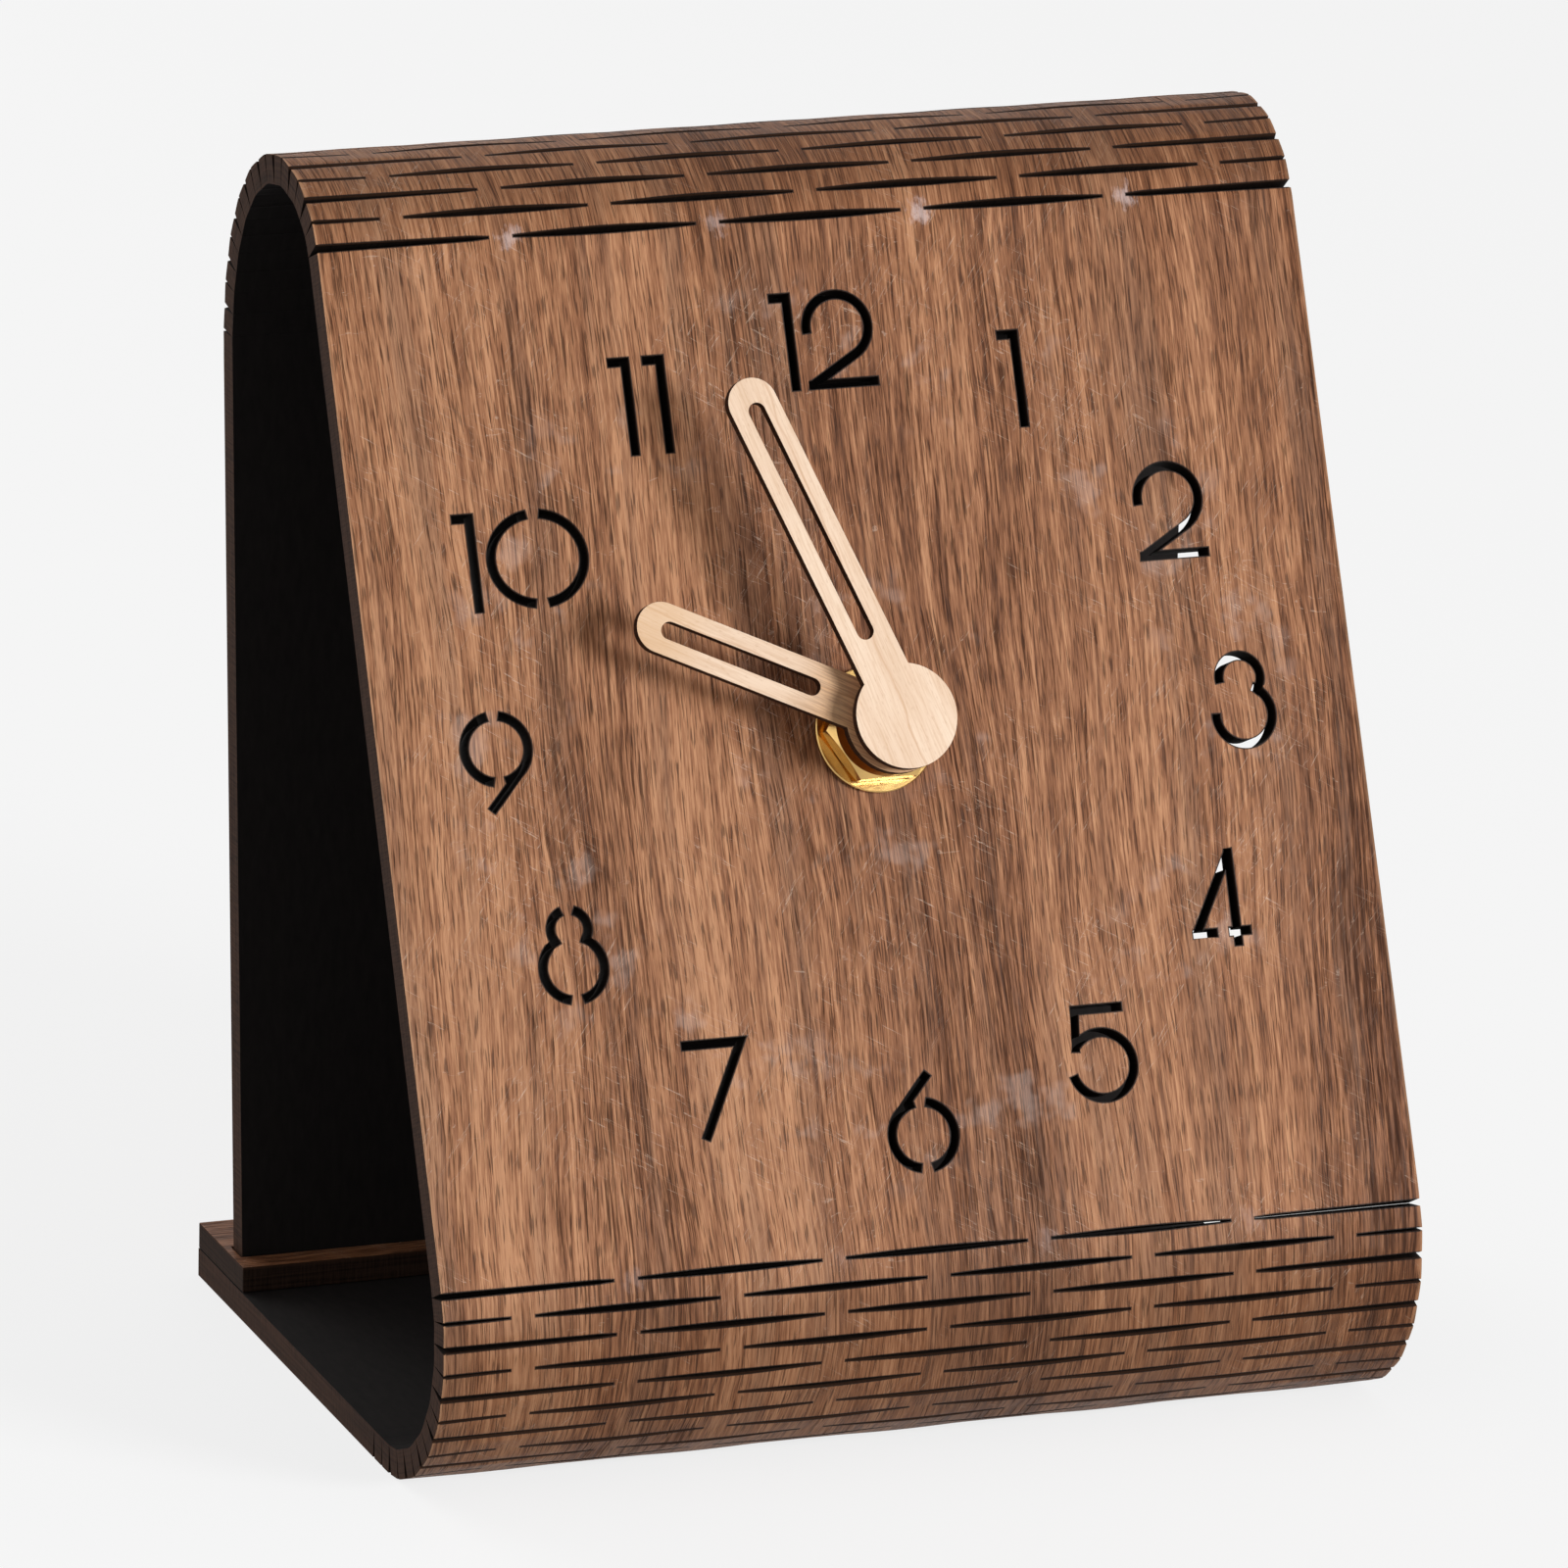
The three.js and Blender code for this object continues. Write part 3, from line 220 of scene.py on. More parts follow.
class Graph:
    """The node graph of a material or of the world, built by short calls."""

    def __init__(self, owner, output="ShaderNodeOutputMaterial"):
        owner.use_nodes = True
        self.owner = owner
        self.tree = owner.node_tree
        self.tree.nodes.clear()
        self.output = self.node(output)

    def feed(self, socket, value):
        if isinstance(value, bpy.types.NodeSocket):
            self.tree.links.new(value, socket)
        elif value is not None:
            socket.default_value = value

    def node(self, kind, *values, named=None, **settings):
        """A new node, its inputs fed in order or by name. None leaves an input alone."""
        made = self.tree.nodes.new(kind)
        for key, value in settings.items():
            setattr(made, key, value)
        for socket, value in zip(made.inputs, values):
            self.feed(socket, value)
        for name, value in (named or {}).items():
            self.feed(made.inputs[name], value)
        return made

    def math(self, operation, a, b=None, c=None):
        return self.node("ShaderNodeMath", a, b, c, operation=operation).outputs[0]

    def times(self, a, b):
        return self.math("MULTIPLY", a, b)

    def add(self, first, *others):
        for other in others:
            first = self.math("ADD", first, other)
        return first

    def away(self, value, centre):
        return self.math("ABSOLUTE", self.math("SUBTRACT", value, centre))

    def length(self, x, y):
        return self.math("SQRT", self.math("ADD", self.times(x, x), self.times(y, y)))

    def swing(self, noise, width):
        """Noise as a swing of a full width about zero."""
        return self.math("MULTIPLY_ADD", noise, width, -width / 2)

    def clamp(self, value, low, high, out_low=0.0, out_high=1.0):
        return self.node("ShaderNodeMapRange", value, low, high, out_low, out_high,
                         interpolation_type="SMOOTHSTEP").outputs[0]

    def mix(self, factor, a, b):
        made = self.node("ShaderNodeMix", factor, data_type="RGBA")
        self.feed(made.inputs[MIX_COLOUR_A], a)
        self.feed(made.inputs[MIX_COLOUR_B], b)
        return made.outputs[MIX_RESULT]

    def over(self, colour, mask, strength, shade):
        """The colour with a shade laid over it, where a mask is and up to a strength."""
        return self.mix(self.times(mask, strength), colour, shade)

    def mapped(self, vector, shift=(0.0, 0.0, 0.0), turn=0.0, scale=(1.0, 1.0, 1.0)):
        return self.node("ShaderNodeMapping", vector, shift, (0.0, 0.0, turn), scale).outputs[0]

    def noise(self, vector, layer):
        place = self.mapped(vector, layer.seat, scale=layer.scale)
        return self.node("ShaderNodeTexNoise", named={
            "Vector": place, "Scale": 1.0, "Detail": layer.detail,
            "Roughness": layer.roughness, "Distortion": layer.distortion}).outputs[0]

    def ramp(self, factor, stops):
        made = self.node("ShaderNodeValToRGB", factor)
        elements = made.color_ramp.elements
        while len(elements) < len(stops):
            elements.new(0.5)
        for element, (position, colour) in zip(elements, stops):
            element.position = position
            element.color = colour
        return made.outputs[0]

    def split(self, vector):
        return self.node("ShaderNodeSeparateXYZ", vector).outputs

    def join(self, x, y, z):
        return self.node("ShaderNodeCombineXYZ", x, y, z).outputs[0]

    def attribute(self, name, output):
        return self.node("ShaderNodeAttribute", attribute_name=name).outputs[output]

    def sheet(self):
        """The place on the flat sheet: x across, s along and n from its middle plane."""
        return self.attribute("sheet", "Vector")

    def place(self):
        """The place in the part's frame, in millimetres."""
        place = self.node("ShaderNodeTexCoord").outputs["Object"]
        return self.mapped(place, scale=(1 / MM,) * 3)

    def direct_view(self):
        """1 for a ray from the camera, a reflection or through glass, 0 for other light."""
        rays = self.node("ShaderNodeLightPath").outputs
        seen = self.math("MAXIMUM", rays["Is Camera Ray"], rays["Is Glossy Ray"])
        return self.math("MAXIMUM", seen, rays["Is Transmission Ray"])

    def bump(self, height, strength, distance):
        return self.node("ShaderNodeBump", named={
            "Strength": strength, "Distance": distance * MM, "Height": height}).outputs[0]

    def finish(self, shader):
        self.tree.links.new(shader.outputs[0], self.output.inputs[0])
        return self.owner

    def surface(self, colour, roughness, metallic=0.0, normal=None, specular=None):
        return self.finish(self.node("ShaderNodeBsdfPrincipled", named={
            "Base Color": colour, "Roughness": roughness, "Metallic": metallic,
            "Specular IOR Level": specular, "Normal": normal}))


def material_graph(name):
    return Graph(bpy.data.materials.new(name))


# Walnut veneer

# Layers of the grain, narrow across it and long along it, from the broadest to the finest
DRIFT = Layer((0.018, 0.0065, 0.0))
WAVER = Layer((0.13, 0.028, 0.0), seat=(7.0, 3.0, 0.0))
BANDS = Layer((0.060, 0.0035, 0.0), 3.0, 0.6, (2.3, 5.1, 0.0))
GREY_BANDS = Layer((0.15, 0.006, 0.0), 3.0, 0.6, (8.0, 1.0, 0.0))
STREAKS = Layer((0.55, 0.013, 0.0), 4.0, 0.7, (1.7, 0.4, 0.0))
FIBRES = Layer((1.5, 0.035, 0.0), 4.0, 0.76, (4.0, 9.0, 0.0))
DASHES = Layer((2.6, 0.085, 0.0), 3.0, 0.6, (11.0, 2.0, 0.0))
HAIRS = Layer((3.2, 0.15, 0.0), 3.0, 0.65, (9.0, 3.0, 0.0))
PORES = Layer((4.2, 0.22, 0.0), 1.0, 0.4, (0.0, 6.0, 0.0))

# How far the two broadest push the grain aside
DRIFT_WIDTH = 13.0
WAVER_WIDTH = 1.1

# The tone is 0 at the darkest wood and 1 at the palest
TONE = 0.615
# TONE_SLOPE makes the tone fall steadily from the board's left side to its right, so the right is darker.
TONE_SLOPE = -0.0018
HEART_X = 1.0
HEART_HALF_WIDTH = 13.0
HEART_TONE = -0.13
WALNUT_TONES = [
    (0.02, srgb(64, 35, 18)),
    (0.30, srgb(105, 65, 41)),
    (0.50, srgb(136, 89, 60)),
    (0.70, srgb(160, 110, 77)),
    (0.98, srgb(190, 138, 101)),
]

# Layers of the marks on the surface
SCUFF_PLACE = Layer((0.05, 0.05, 0.0), seat=(3.0, 8.0, 0.0))
SCUFF_LINE = Layer((0.35, 0.9, 0.0), 4.0, 0.7, (5.0, 1.0, 0.0), 1.4)
HAZE = Layer((0.11, 0.11, 0.0), 3.0, 0.6, (4.0, 2.6, 0.0))
SMEAR = Layer((0.9, 0.5, 0.0), 4.0, 0.65, (2.0, 7.0, 0.0))
SMEAR_WEAR = Layer((3.7, 0.0, 0.0), 0.0, seat=(0.0, 0.5, 0.0))

# The places that fingers reach, as distances from the shaft
HUB_REACH = 16.0
NUMERAL_REACH = 52.0


def walnut_grain(g, sheet):
    """The colour, relief and roughness of bare veneer, with its grain along s."""
    x, s, _ = g.split(sheet)
    drift = g.swing(g.noise(sheet, DRIFT), DRIFT_WIDTH)
    waver = g.swing(g.noise(sheet, WAVER), WAVER_WIDTH)
    across = g.add(x, drift, waver)
    grain = g.join(across, s, 0.0)
    bands = g.noise(grain, BANDS)
    fibres = g.noise(grain, FIBRES)
    heart = g.clamp(g.away(across, HEART_X), HEART_HALF_WIDTH, 0.0)
    tone = g.add(
        g.swing(bands, 0.9),
        g.swing(g.noise(grain, STREAKS), 1.15),
        g.swing(fibres, 1.5),
        g.swing(g.noise(grain, HAIRS), 1.5),
        g.math("MULTIPLY_ADD", x, TONE_SLOPE, TONE),
        g.times(heart, HEART_TONE),
    )
    colour = g.ramp(tone, WALNUT_TONES)
    grey = g.clamp(g.noise(grain, GREY_BANDS), 0.48, 0.64)
    colour = g.over(colour, grey, 0.32, srgb(110, 84, 68))
    dashes = g.clamp(g.add(g.noise(grain, DASHES), g.swing(bands, -0.45)), 0.56, 0.67)
    colour = g.over(colour, dashes, 0.72, srgb(54, 29, 16))
    pores = g.clamp(g.noise(grain, PORES), 0.58, 0.68)
    colour = g.over(colour, pores, 0.62, srgb(48, 25, 13))
    height = g.math("SUBTRACT", g.times(fibres, 0.8), g.times(dashes, 0.5))
    height = g.math("SUBTRACT", height, g.times(pores, 0.5))
    return colour, height, g.add(0.52, g.times(dashes, 0.2))


def handling_marks(g, colour, sheet):
    """Pale scuffs, and haze and fine scratches mostly about the hub and the numerals."""
    x, s, _ = g.split(sheet)
    scuff_line = g.clamp(g.noise(sheet, SCUFF_LINE), 0.62, 0.69)
    scuff = g.times(g.clamp(g.noise(sheet, SCUFF_PLACE), 0.54, 0.64), scuff_line)
    colour = g.over(colour, scuff, 0.35, srgb(206, 182, 162))
    reach = g.length(x, g.math("SUBTRACT", s, face_middle_s))
    near_hub = g.clamp(g.away(reach, HUB_REACH), 8.0, 2.0)
    near_numerals = g.clamp(g.away(reach, NUMERAL_REACH), 13.0, 5.0)
    handled = g.math("MAXIMUM", near_hub, near_numerals)
    haze = g.times(g.clamp(g.noise(sheet, HAZE), 0.56, 0.68), handled)
    colour = g.over(colour, haze, 0.2, srgb(206, 184, 174))
    for angle, seat in ((0.55, 3.0), (-0.9, 21.0)):
        slanted = g.mapped(sheet, turn=angle)
        line = g.noise(slanted, Layer((0.09, 1.9, 0.0), 2.0, 0.4, (seat, 0.0, 0.0)))
        line = g.clamp(g.away(line, 0.62), 0.008, 0.002)
        where = g.noise(sheet, Layer((0.045, 0.045, 0.0), 3.0, seat=(seat, 5.0, 0.0)))
        where = g.clamp(g.math("MULTIPLY_ADD", handled, 0.06, where), 0.50, 0.60)
        colour = g.over(colour, g.times(line, where), 0.45, srgb(214, 190, 170))
    return colour


def cutting_marks(g, colour, sheet):
    """Smears at the tips of the cuts beside the face and browned rims round the cuts, with painted shade
    in the bends and a painted highlight along the sides.
    """
    x, s, _ = g.split(sheet)
    for row, strength in ((path.band("bottom")[-1], 0.16), (path.band("top")[0], 0.62)):
        period = g.math("MULTIPLY_ADD", x, 1 / KERF_PERIOD, 0.5 + KERF_LENGTH / 2 / KERF_PERIOD)
        across = g.math("MULTIPLY_ADD", g.math("FRACT", period), KERF_PERIOD, 0.5 - KERF_PERIOD / 2)
        along = g.math("SUBTRACT", s, row.s - 0.2)
        reach = g.add(g.length(across, along), g.swing(g.noise(sheet, SMEAR), 6.0))
        wear = g.noise(g.join(g.math("FLOOR", period), 0.0, 0.0), SMEAR_WEAR)
        smear = g.times(g.clamp(reach, 2.0, 0.2), g.clamp(wear, 0.3, 0.6, 0.45, 1.0))
        colour = g.over(colour, smear, strength, srgb(214, 190, 184))
    half = FACE_LENGTH / 2
    # Painted shade: the bends are darkened towards a dark brown, by up to a third, as they turn away from
    # the light.
    painted_bend_shade = g.clamp(g.away(s, face_middle_s), half - 2.0, half + 6.0, 0.0, 0.33)
    colour = g.mix(painted_bend_shade, colour, srgb(78, 52, 38))
    burn = g.clamp(g.attribute("burn", "Fac"), 0.0, 0.75, 0.0, 0.96)
    colour = g.mix(burn, colour, srgb(10, 6, 5))
    # A painted highlight: the veneer is lightened within half a millimetre of the board's two sides,
    # where their edges catch the light.
    side = g.clamp(g.math("ABSOLUTE", x), HALF_WIDTH - 0.5, HALF_WIDTH)
    return g.over(colour, side, 0.4, srgb(196, 152, 116))


def walnut(name, shift=(0.0, 0.0, 0.0), bends=False):
    """Walnut veneer. Where bends is true, it also has the marks that its cutting and bending leave on it,
    with painted shade in the bends and a painted highlight along its sides.
    """
    g = material_graph(name)
    sheet = g.mapped(g.sheet(), shift)
    colour, height, roughness = walnut_grain(g, sheet)
    colour = handling_marks(g, colour, sheet)
    if bends:
        colour = cutting_marks(g, colour, sheet)
    return g.surface(colour, roughness, normal=g.bump(height, 0.7, 0.14), specular=0.14)


# Other materials

def black_face():
    """The board's inner face: a matte black backing with a faint mottle."""
    g = material_graph("black_backing")
    mottle = g.noise(g.sheet(), Layer((0.9, 0.25, 0.0), 4.0, 0.6))
    colour = g.ramp(mottle, [(0.3, srgb(17, 14, 13)), (0.7, srgb(27, 23, 22))])
    return g.surface(colour, 0.75, normal=g.bump(mottle, 0.3, 0.1), specular=0.12)


def burnt_edge(name, low, high):
    """A laser-cut edge of the board: fine upright lines, layers, and the veneer at its rim."""
    g = material_graph(name)
    sheet = g.sheet()
    _, _, n = g.split(sheet)
    lines = g.noise(sheet, Layer((3.2, 3.2, 0.25), 3.0, 0.6))
    layers = g.noise(sheet, Layer((0.06, 0.06, 2.6), 3.0, 0.6, (3.0, 0.0, 1.0)))
    colour = g.ramp(g.add(g.times(lines, 0.5), g.times(layers, 0.5)), [(0.34, low), (0.62, high)])
    rim = g.clamp(n, HALF_THICKNESS - 0.55, HALF_THICKNESS - 0.3)
    colour = g.over(colour, rim, 0.4, srgb(72, 48, 34))
    return g.surface(colour, 0.75, normal=g.bump(lines, 0.4, 0.08), specular=0.06)


def burnt_hand_edge():
    """A laser-cut edge of a hand."""
    g = material_graph("hand_cut_edge")
    lines = g.noise(g.sheet(), Layer((3.0, 3.0, 0.3), 3.0, 0.6))
    colour = g.ramp(lines, [(0.3, srgb(22, 10, 5)), (0.7, srgb(62, 34, 18))])
    return g.surface(colour, 0.7, normal=g.bump(lines, 0.3, 0.05), specular=0.15)


def maple(name, angle, shift, painted_hub_shadow_and_tip_tone):
    """Pale maple veneer with its grain at an angle to a hand and, where asked, a painted brown shadow
    round the hub and a yellower-brown tone towards the tip.
    """
    g = material_graph(name)
    turned = g.mapped(g.sheet(), turn=-angle)
    grain = g.mapped(turned, shift)
    across, _, _ = g.split(turned)
    broad = g.noise(grain, Layer((0.35, 0.03, 0.0), 3.0, 0.55))
    fine = g.noise(grain, Layer((3.6, 0.16, 0.0), 3.0, 0.6))
    flecks = g.noise(grain, Layer((5.5, 0.9, 0.0), 1.0, 0.4, (3.0, 1.0, 0.0)))
    colour = g.ramp(broad, [
        (0.3, srgb(222, 192, 164)),
        (0.5, srgb(232, 204, 178)),
        (0.7, srgb(239, 215, 191)),
    ])
    colour = g.over(colour, g.clamp(fine, 0.6, 0.3), 0.45, srgb(206, 166, 128))
    colour = g.over(colour, g.clamp(flecks, 0.62, 0.72), 0.30, srgb(190, 146, 108))
    wander = g.swing(g.noise(grain, Layer((0.0, 0.09, 0.0))), 2.4)
    vein = g.clamp(g.math("ABSOLUTE", g.add(across, wander)), 0.28, 0.0)
    colour = g.over(colour, vein, 0.42, srgb(196, 148, 108))
    if painted_hub_shadow_and_tip_tone:
        x, y, _ = g.split(g.sheet())
        reach = g.length(x, y)
        # Painted shade: the minute hand's shadow on the hub, a warm brown laid over the wood, strongest
        # nearest the shaft.
        painted_hub_shadow = g.mix(g.clamp(fine, 0.35, 0.65), srgb(150, 104, 62), srgb(204, 156, 104))
        colour = g.mix(g.clamp(reach, 17.0, 9.0, 0.0, 0.75), colour, painted_hub_shadow)
        # Yellower-brown towards the tip.
        colour = g.mix(g.clamp(reach, 26.0, 34.8, 0.0, 0.4), colour, srgb(208, 160, 104))
    return g.surface(colour, 0.55, normal=g.bump(fine, 0.25, 0.05), specular=0.25)


def darker_and_plain(colour, share):
    darker = tuple(channel * share for channel in colour)
    return [(0.3, srgb(*darker)), (0.7, srgb(*colour))]


def brass(name, roughness):
    """Polished brass, a little cloudy, with faint turning marks."""
    g = material_graph(name)
    place = g.place()
    brushed = g.noise(place, Layer((0.8, 0.8, 9.0), 3.0, 0.6))
    cloud = g.noise(place, Layer((0.25, 0.25, 0.25), 3.0))
    tint = g.ramp(cloud, darker_and_plain((224, 183, 114), 0.82))
    rough = g.clamp(brushed, 0.2, 0.8, roughness * 0.7, roughness * 1.5)
    return g.surface(tint, rough, 1.0, normal=g.bump(brushed, 0.08, 0.02))


def metal(name, colour, roughness, scale=(0.6, 6.0, 6.0)):
    """Plain metal, brushed along its smallest scale."""
    g = material_graph(name)
    brushed = g.noise(g.place(), Layer(scale, 3.0, 0.6))
    tint = g.ramp(brushed, darker_and_plain(colour, 0.85))
    rough = g.clamp(brushed, 0.2, 0.8, roughness * 0.8, roughness * 1.3)
    return g.surface(tint, rough, 1.0, normal=g.bump(brushed, 0.1, 0.02))


def plastic(name, colour, roughness, grain=5.0, depth=0.03):
    """Moulded plastic or rubber, slightly uneven in shade, with a fine moulded texture."""
    g = material_graph(name)
    place = g.place()
    texture = g.noise(place, Layer((grain, grain, grain)))
    cloud = g.noise(place, Layer((0.08, 0.08, 0.08)))
    lighter = tuple(min(255, channel * 1.12 + 2) for channel in colour)
    tint = g.ramp(cloud, [(0.3, srgb(*colour)), (0.7, srgb(*lighter))])
    rough = g.clamp(texture, 0.25, 0.75, roughness * 0.9, min(1.0, roughness * 1.15))
    return g.surface(tint, rough, normal=g.bump(texture, 0.35, depth), specular=0.4)


# Meshes

# Places of a slab's materials
OUTER_FACE, INNER_FACE, CUT_WALL, OUTLINE_SIDE = range(4)


def new_object(name, data):
    made = bpy.data.objects.new(name, data)
    scene.collection.objects.link(made)
    return made


def new_mesh(name, verts, polygons, materials, slots):
    mesh = bpy.data.meshes.new(name)
    mesh.from_pydata(verts, [], polygons)
    for material in materials:
        mesh.materials.append(material)
    mesh.polygons.foreach_set("material_index", slots)
    return mesh


def finish_mesh(mesh, body):
    """The piece of a mesh, under the mesh's name."""
    made = new_object(mesh.name, mesh)
    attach(made, body)
    return made


def soften(piece, width, weld=False):
    """Rounds the edges. For a CAD node, weld joins its vertices and evens its shading."""
    if weld:
        joined = piece.modifiers.new("Weld", "WELD")
        joined.merge_threshold = TOLERANCE * MM
    bevel = piece.modifiers.new("Bevel", "BEVEL")
    bevel.width = width * MM
    bevel.segments = 2
    bevel.limit_method = "ANGLE"
    bevel.angle_limit = math.radians(38)
    if weld:
        weighted = piece.modifiers.new("Weighted normals", "WEIGHTED_NORMAL")
        weighted.weight = 100


def anticlockwise(points):
    area = sum(x0 * y1 - x1 * y0 for (x0, y0), (x1, y1) in zip(points, points[1:] + points[:1]))
    return points if area > 0 else points[::-1]


def beside_segment(point, start, end):
    along = end - start
    share = max(0.0, min(1.0, (point - start).dot(along) / along.length_squared))
    return (point - start - along * share).length < TOLERANCE / 10


def flat_triangles(outline, cuts, lines):
    """The points and triangles of a flat sheet without its cuts, with edges along the lines."""
    points, edges, faces = [], [], []
    for loop in [outline] + cuts:
        loop = anticlockwise(loop)
        faces.append(list(range(len(points), len(points) + len(loop))))
        points.extend(Vector(point) for point in loop)
    for line in lines:
        start = len(points)
        points.extend(Vector(point) for point in line)
        edges.extend((start + i, start + i + 1) for i in range(len(line) - 1))
    found, _, triangles, _, _, owners = delaunay_2d_cdt(points, edges, faces, 0, 1e-4, True)
    # The outline is face 0, and a triangle in a cut belongs to that cut's face too
    kept = [triangle for triangle, owner in zip(triangles, owners) if list(owner) == [0]]
    used = sorted({index for triangle in kept for index in triangle})
    number = {old: new for new, old in enumerate(used)}
    return [found[index] for index in used], [[number[index] for index in triangle] for triangle in kept]


def slab(name, outline, cuts, lines, place, materials):
    """A sheet with cuts right through it. place(x, y, side) gives a point in millimetres and
    its height n, for side 1, the outer face, and side -1, the inner face. The materials are
    those of the outer face, the inner face, the walls of the cuts and the sides. The attribute
    burn is 1 at the rim of each cut and fades out at the next line round it."""
    flat, triangles = flat_triangles(outline, cuts, lines)
    count = len(flat)
    verts, sheet = [], []
    for side in (1, -1):
        for x, y in flat:
            point, n = place(x, y, side)
            verts.append(Vector(point) * MM)
            sheet.extend((x, y, n))
    polygons, slots = [], []
    rim = {}
    for a, b, c in triangles:
        polygons.extend([(a, b, c), (c + count, b + count, a + count)])
        slots.extend([OUTER_FACE, INNER_FACE])
        for start, end in ((a, b), (b, c), (c, a)):
            edge = (min(start, end), max(start, end))
            if edge in rim:
                del rim[edge]
            else:
                rim[edge] = (start, end)
    corners = [Vector(point) for point in outline]
    sides = list(zip(corners, corners[1:] + corners[:1]))
    on_rim = {index for edge in rim for index in edge}
    on_outline = {index for index in on_rim if any(beside_segment(flat[index], *side) for side in sides)}
    for edge in sorted(rim):
        start, end = rim[edge]
        polygons.append((end, start, start + count, end + count))
        slots.append(OUTLINE_SIDE if start in on_outline and end in on_outline else CUT_WALL)
    mesh = new_mesh(name, verts, polygons, materials, slots)
    mesh.attributes.new("sheet", "FLOAT_VECTOR", "POINT").data.foreach_set("vector", sheet)
    scorched = on_rim - on_outline
    burn = [float(i % count in scorched) for i in range(2 * count)]
    mesh.attributes.new("burn", "FLOAT", "POINT").data.foreach_set("value", burn)
    mesh.polygons.foreach_set("use_smooth", [slot in (OUTER_FACE, INNER_FACE) for slot in slots])
    mesh.update()
    for edge in mesh.edges:
        edge.use_edge_sharp = (min(edge.vertices) % count, max(edge.vertices) % count) in rim
    mesh.validate()
    return mesh


def revolved(name, profile_at, count, materials, frame_matrix, smooth_degrees=35, slots=()):
    """A closed ring of profiles, each a list of (radius, height), round the frame's z axis.
    slots gives the material of each step along the profile, and is empty for one material."""
    verts, polygons, indices = [], [], []
    for i in range(count):
        angle = math.tau * i / count
        profile = profile_at(angle)
        for radius, height in profile:
            point = Vector((radius * math.cos(angle), radius * math.sin(angle), height)) * MM
            verts.append(frame_matrix @ point)
    length = len(profile)
    for i in range(count):
        j = (i + 1) % count
        for k in range(length):
            m = (k + 1) % length
            polygons.append((i * length + k, j * length + k, j * length + m, i * length + m))
            indices.append(slots[k] if slots else 0)
    mesh = new_mesh(name, verts, polygons, materials, indices)
    joined = bmesh.new()
    joined.from_mesh(mesh)
    bmesh.ops.remove_doubles(joined, verts=joined.verts, dist=TOLERANCE / 10 * MM)
    joined.to_mesh(mesh)
    joined.free()
    mesh.polygons.foreach_set("use_smooth", [True] * len(mesh.polygons))
    mesh.set_sharp_from_angle(angle=math.radians(smooth_degrees))
    return mesh


# Cuts

def mirrored(points):
    """The points, then their mirror images below the line, back to the start."""
    return points + [(x, -y) for x, y in reversed(points)]


def closed_cut(centre, length, half, blunt):
    """A long lens with pointed ends."""
    lower = []
    for i in range(CUT_STEPS + 1):
        share = i / CUT_STEPS - 0.5
        swell = abs(math.cos(math.pi * share)) ** CUT_ROUNDING
        lower.append((centre + share * length, -blunt - (half - blunt) * swell))
    return mirrored(lower)


def open_cut(tip, blunt, mouth, flare):
    """A cut from its tip to the board's right edge, where it widens to its mouth."""
    return mirrored([
        (tip, blunt),
        (tip + OPEN_CUT_TAPER, (blunt + mouth) / 2),
        (HALF_WIDTH - MOUTH_DEPTH, mouth),
        (HALF_WIDTH, flare),
        (HALF_WIDTH + OVERRUN, flare),
    ])


def kerf_outlines(centred, width, grown):
    """One row of cuts about a line at height zero, grown all round. Its middle is in a cut, or
    in a bridge where it isn't centred. The outermost cuts are open at the board's sides."""
    half = width / 2 + grown
    blunt = KERF_END_WIDTH / 2 + grown
    centres = []
    x = 0.0 if centred else KERF_PERIOD / 2
    while x + KERF_LENGTH / 2 < HALF_WIDTH:
        centres.extend([x, -x] if x > 0 else [x])
        x += KERF_PERIOD
    outlines = [closed_cut(centre, KERF_LENGTH + 2 * grown, half, blunt) for centre in centres]
    tip = max(centres) + KERF_LENGTH / 2 + KERF_BRIDGE - grown
    if tip < HALF_WIDTH:
        mouth = half if centred else KERF_EDGE_WIDTH / 2 + grown
        right = open_cut(tip, blunt, mouth, mouth + MOUTH_FLARE if centred else mouth)
        outlines.extend([right, [(-x, y) for x, y in right]])
    return outlines


def kerf_cuts(grown=0.0):
    cuts = []
    for row in path.rows:
        width = KERF_WIDTH + THICKNESS * math.tan(row.turn / 2)
        for outline in kerf_outlines(row.centred, width, grown):
            cuts.append([(x, row.s + y) for x, y in outline])
    return cuts


# Numerals, drawn as pen strokes of one width, in shares of their height

STROKE = NUMERAL_STROKE / NUMERAL_HEIGHT
HALF_STROKE = STROKE / 2
CAP = 0.5
TOP = CAP - HALF_STROKE
FOOT = -TOP
ARC_STEP = 6.0
HOUR_DEGREES = 30


def arc(x, y, radius, start, end, radius_y=None):
    """Points on an arc between two angles in degrees, of an ellipse where it has two radii."""
    steps = max(2, math.ceil(abs(end - start) / ARC_STEP))
    points = []
    for i in range(steps + 1):
        angle = math.radians(start + (end - start) * i / steps)
        points.append((x + radius * math.cos(angle), y + (radius_y or radius) * math.sin(angle)))
    return points


def tangent_degrees(px, py, y, radius):
    """Where a line from (px, py) touches a circle about (0, y), anticlockwise from the point."""
    distance = math.hypot(px, py - y)
    return math.degrees(math.atan2(py - y, px) + math.acos(radius / distance))


def bowl_crossing(upper, lower, distance):
    """Where two bowls, one above the other, cross: the angle on the upper and on the lower."""
    drop = (distance ** 2 + upper ** 2 - lower ** 2) / (2 * distance)
    return -math.degrees(math.asin(drop / upper)), math.degrees(math.asin((distance - drop) / lower))


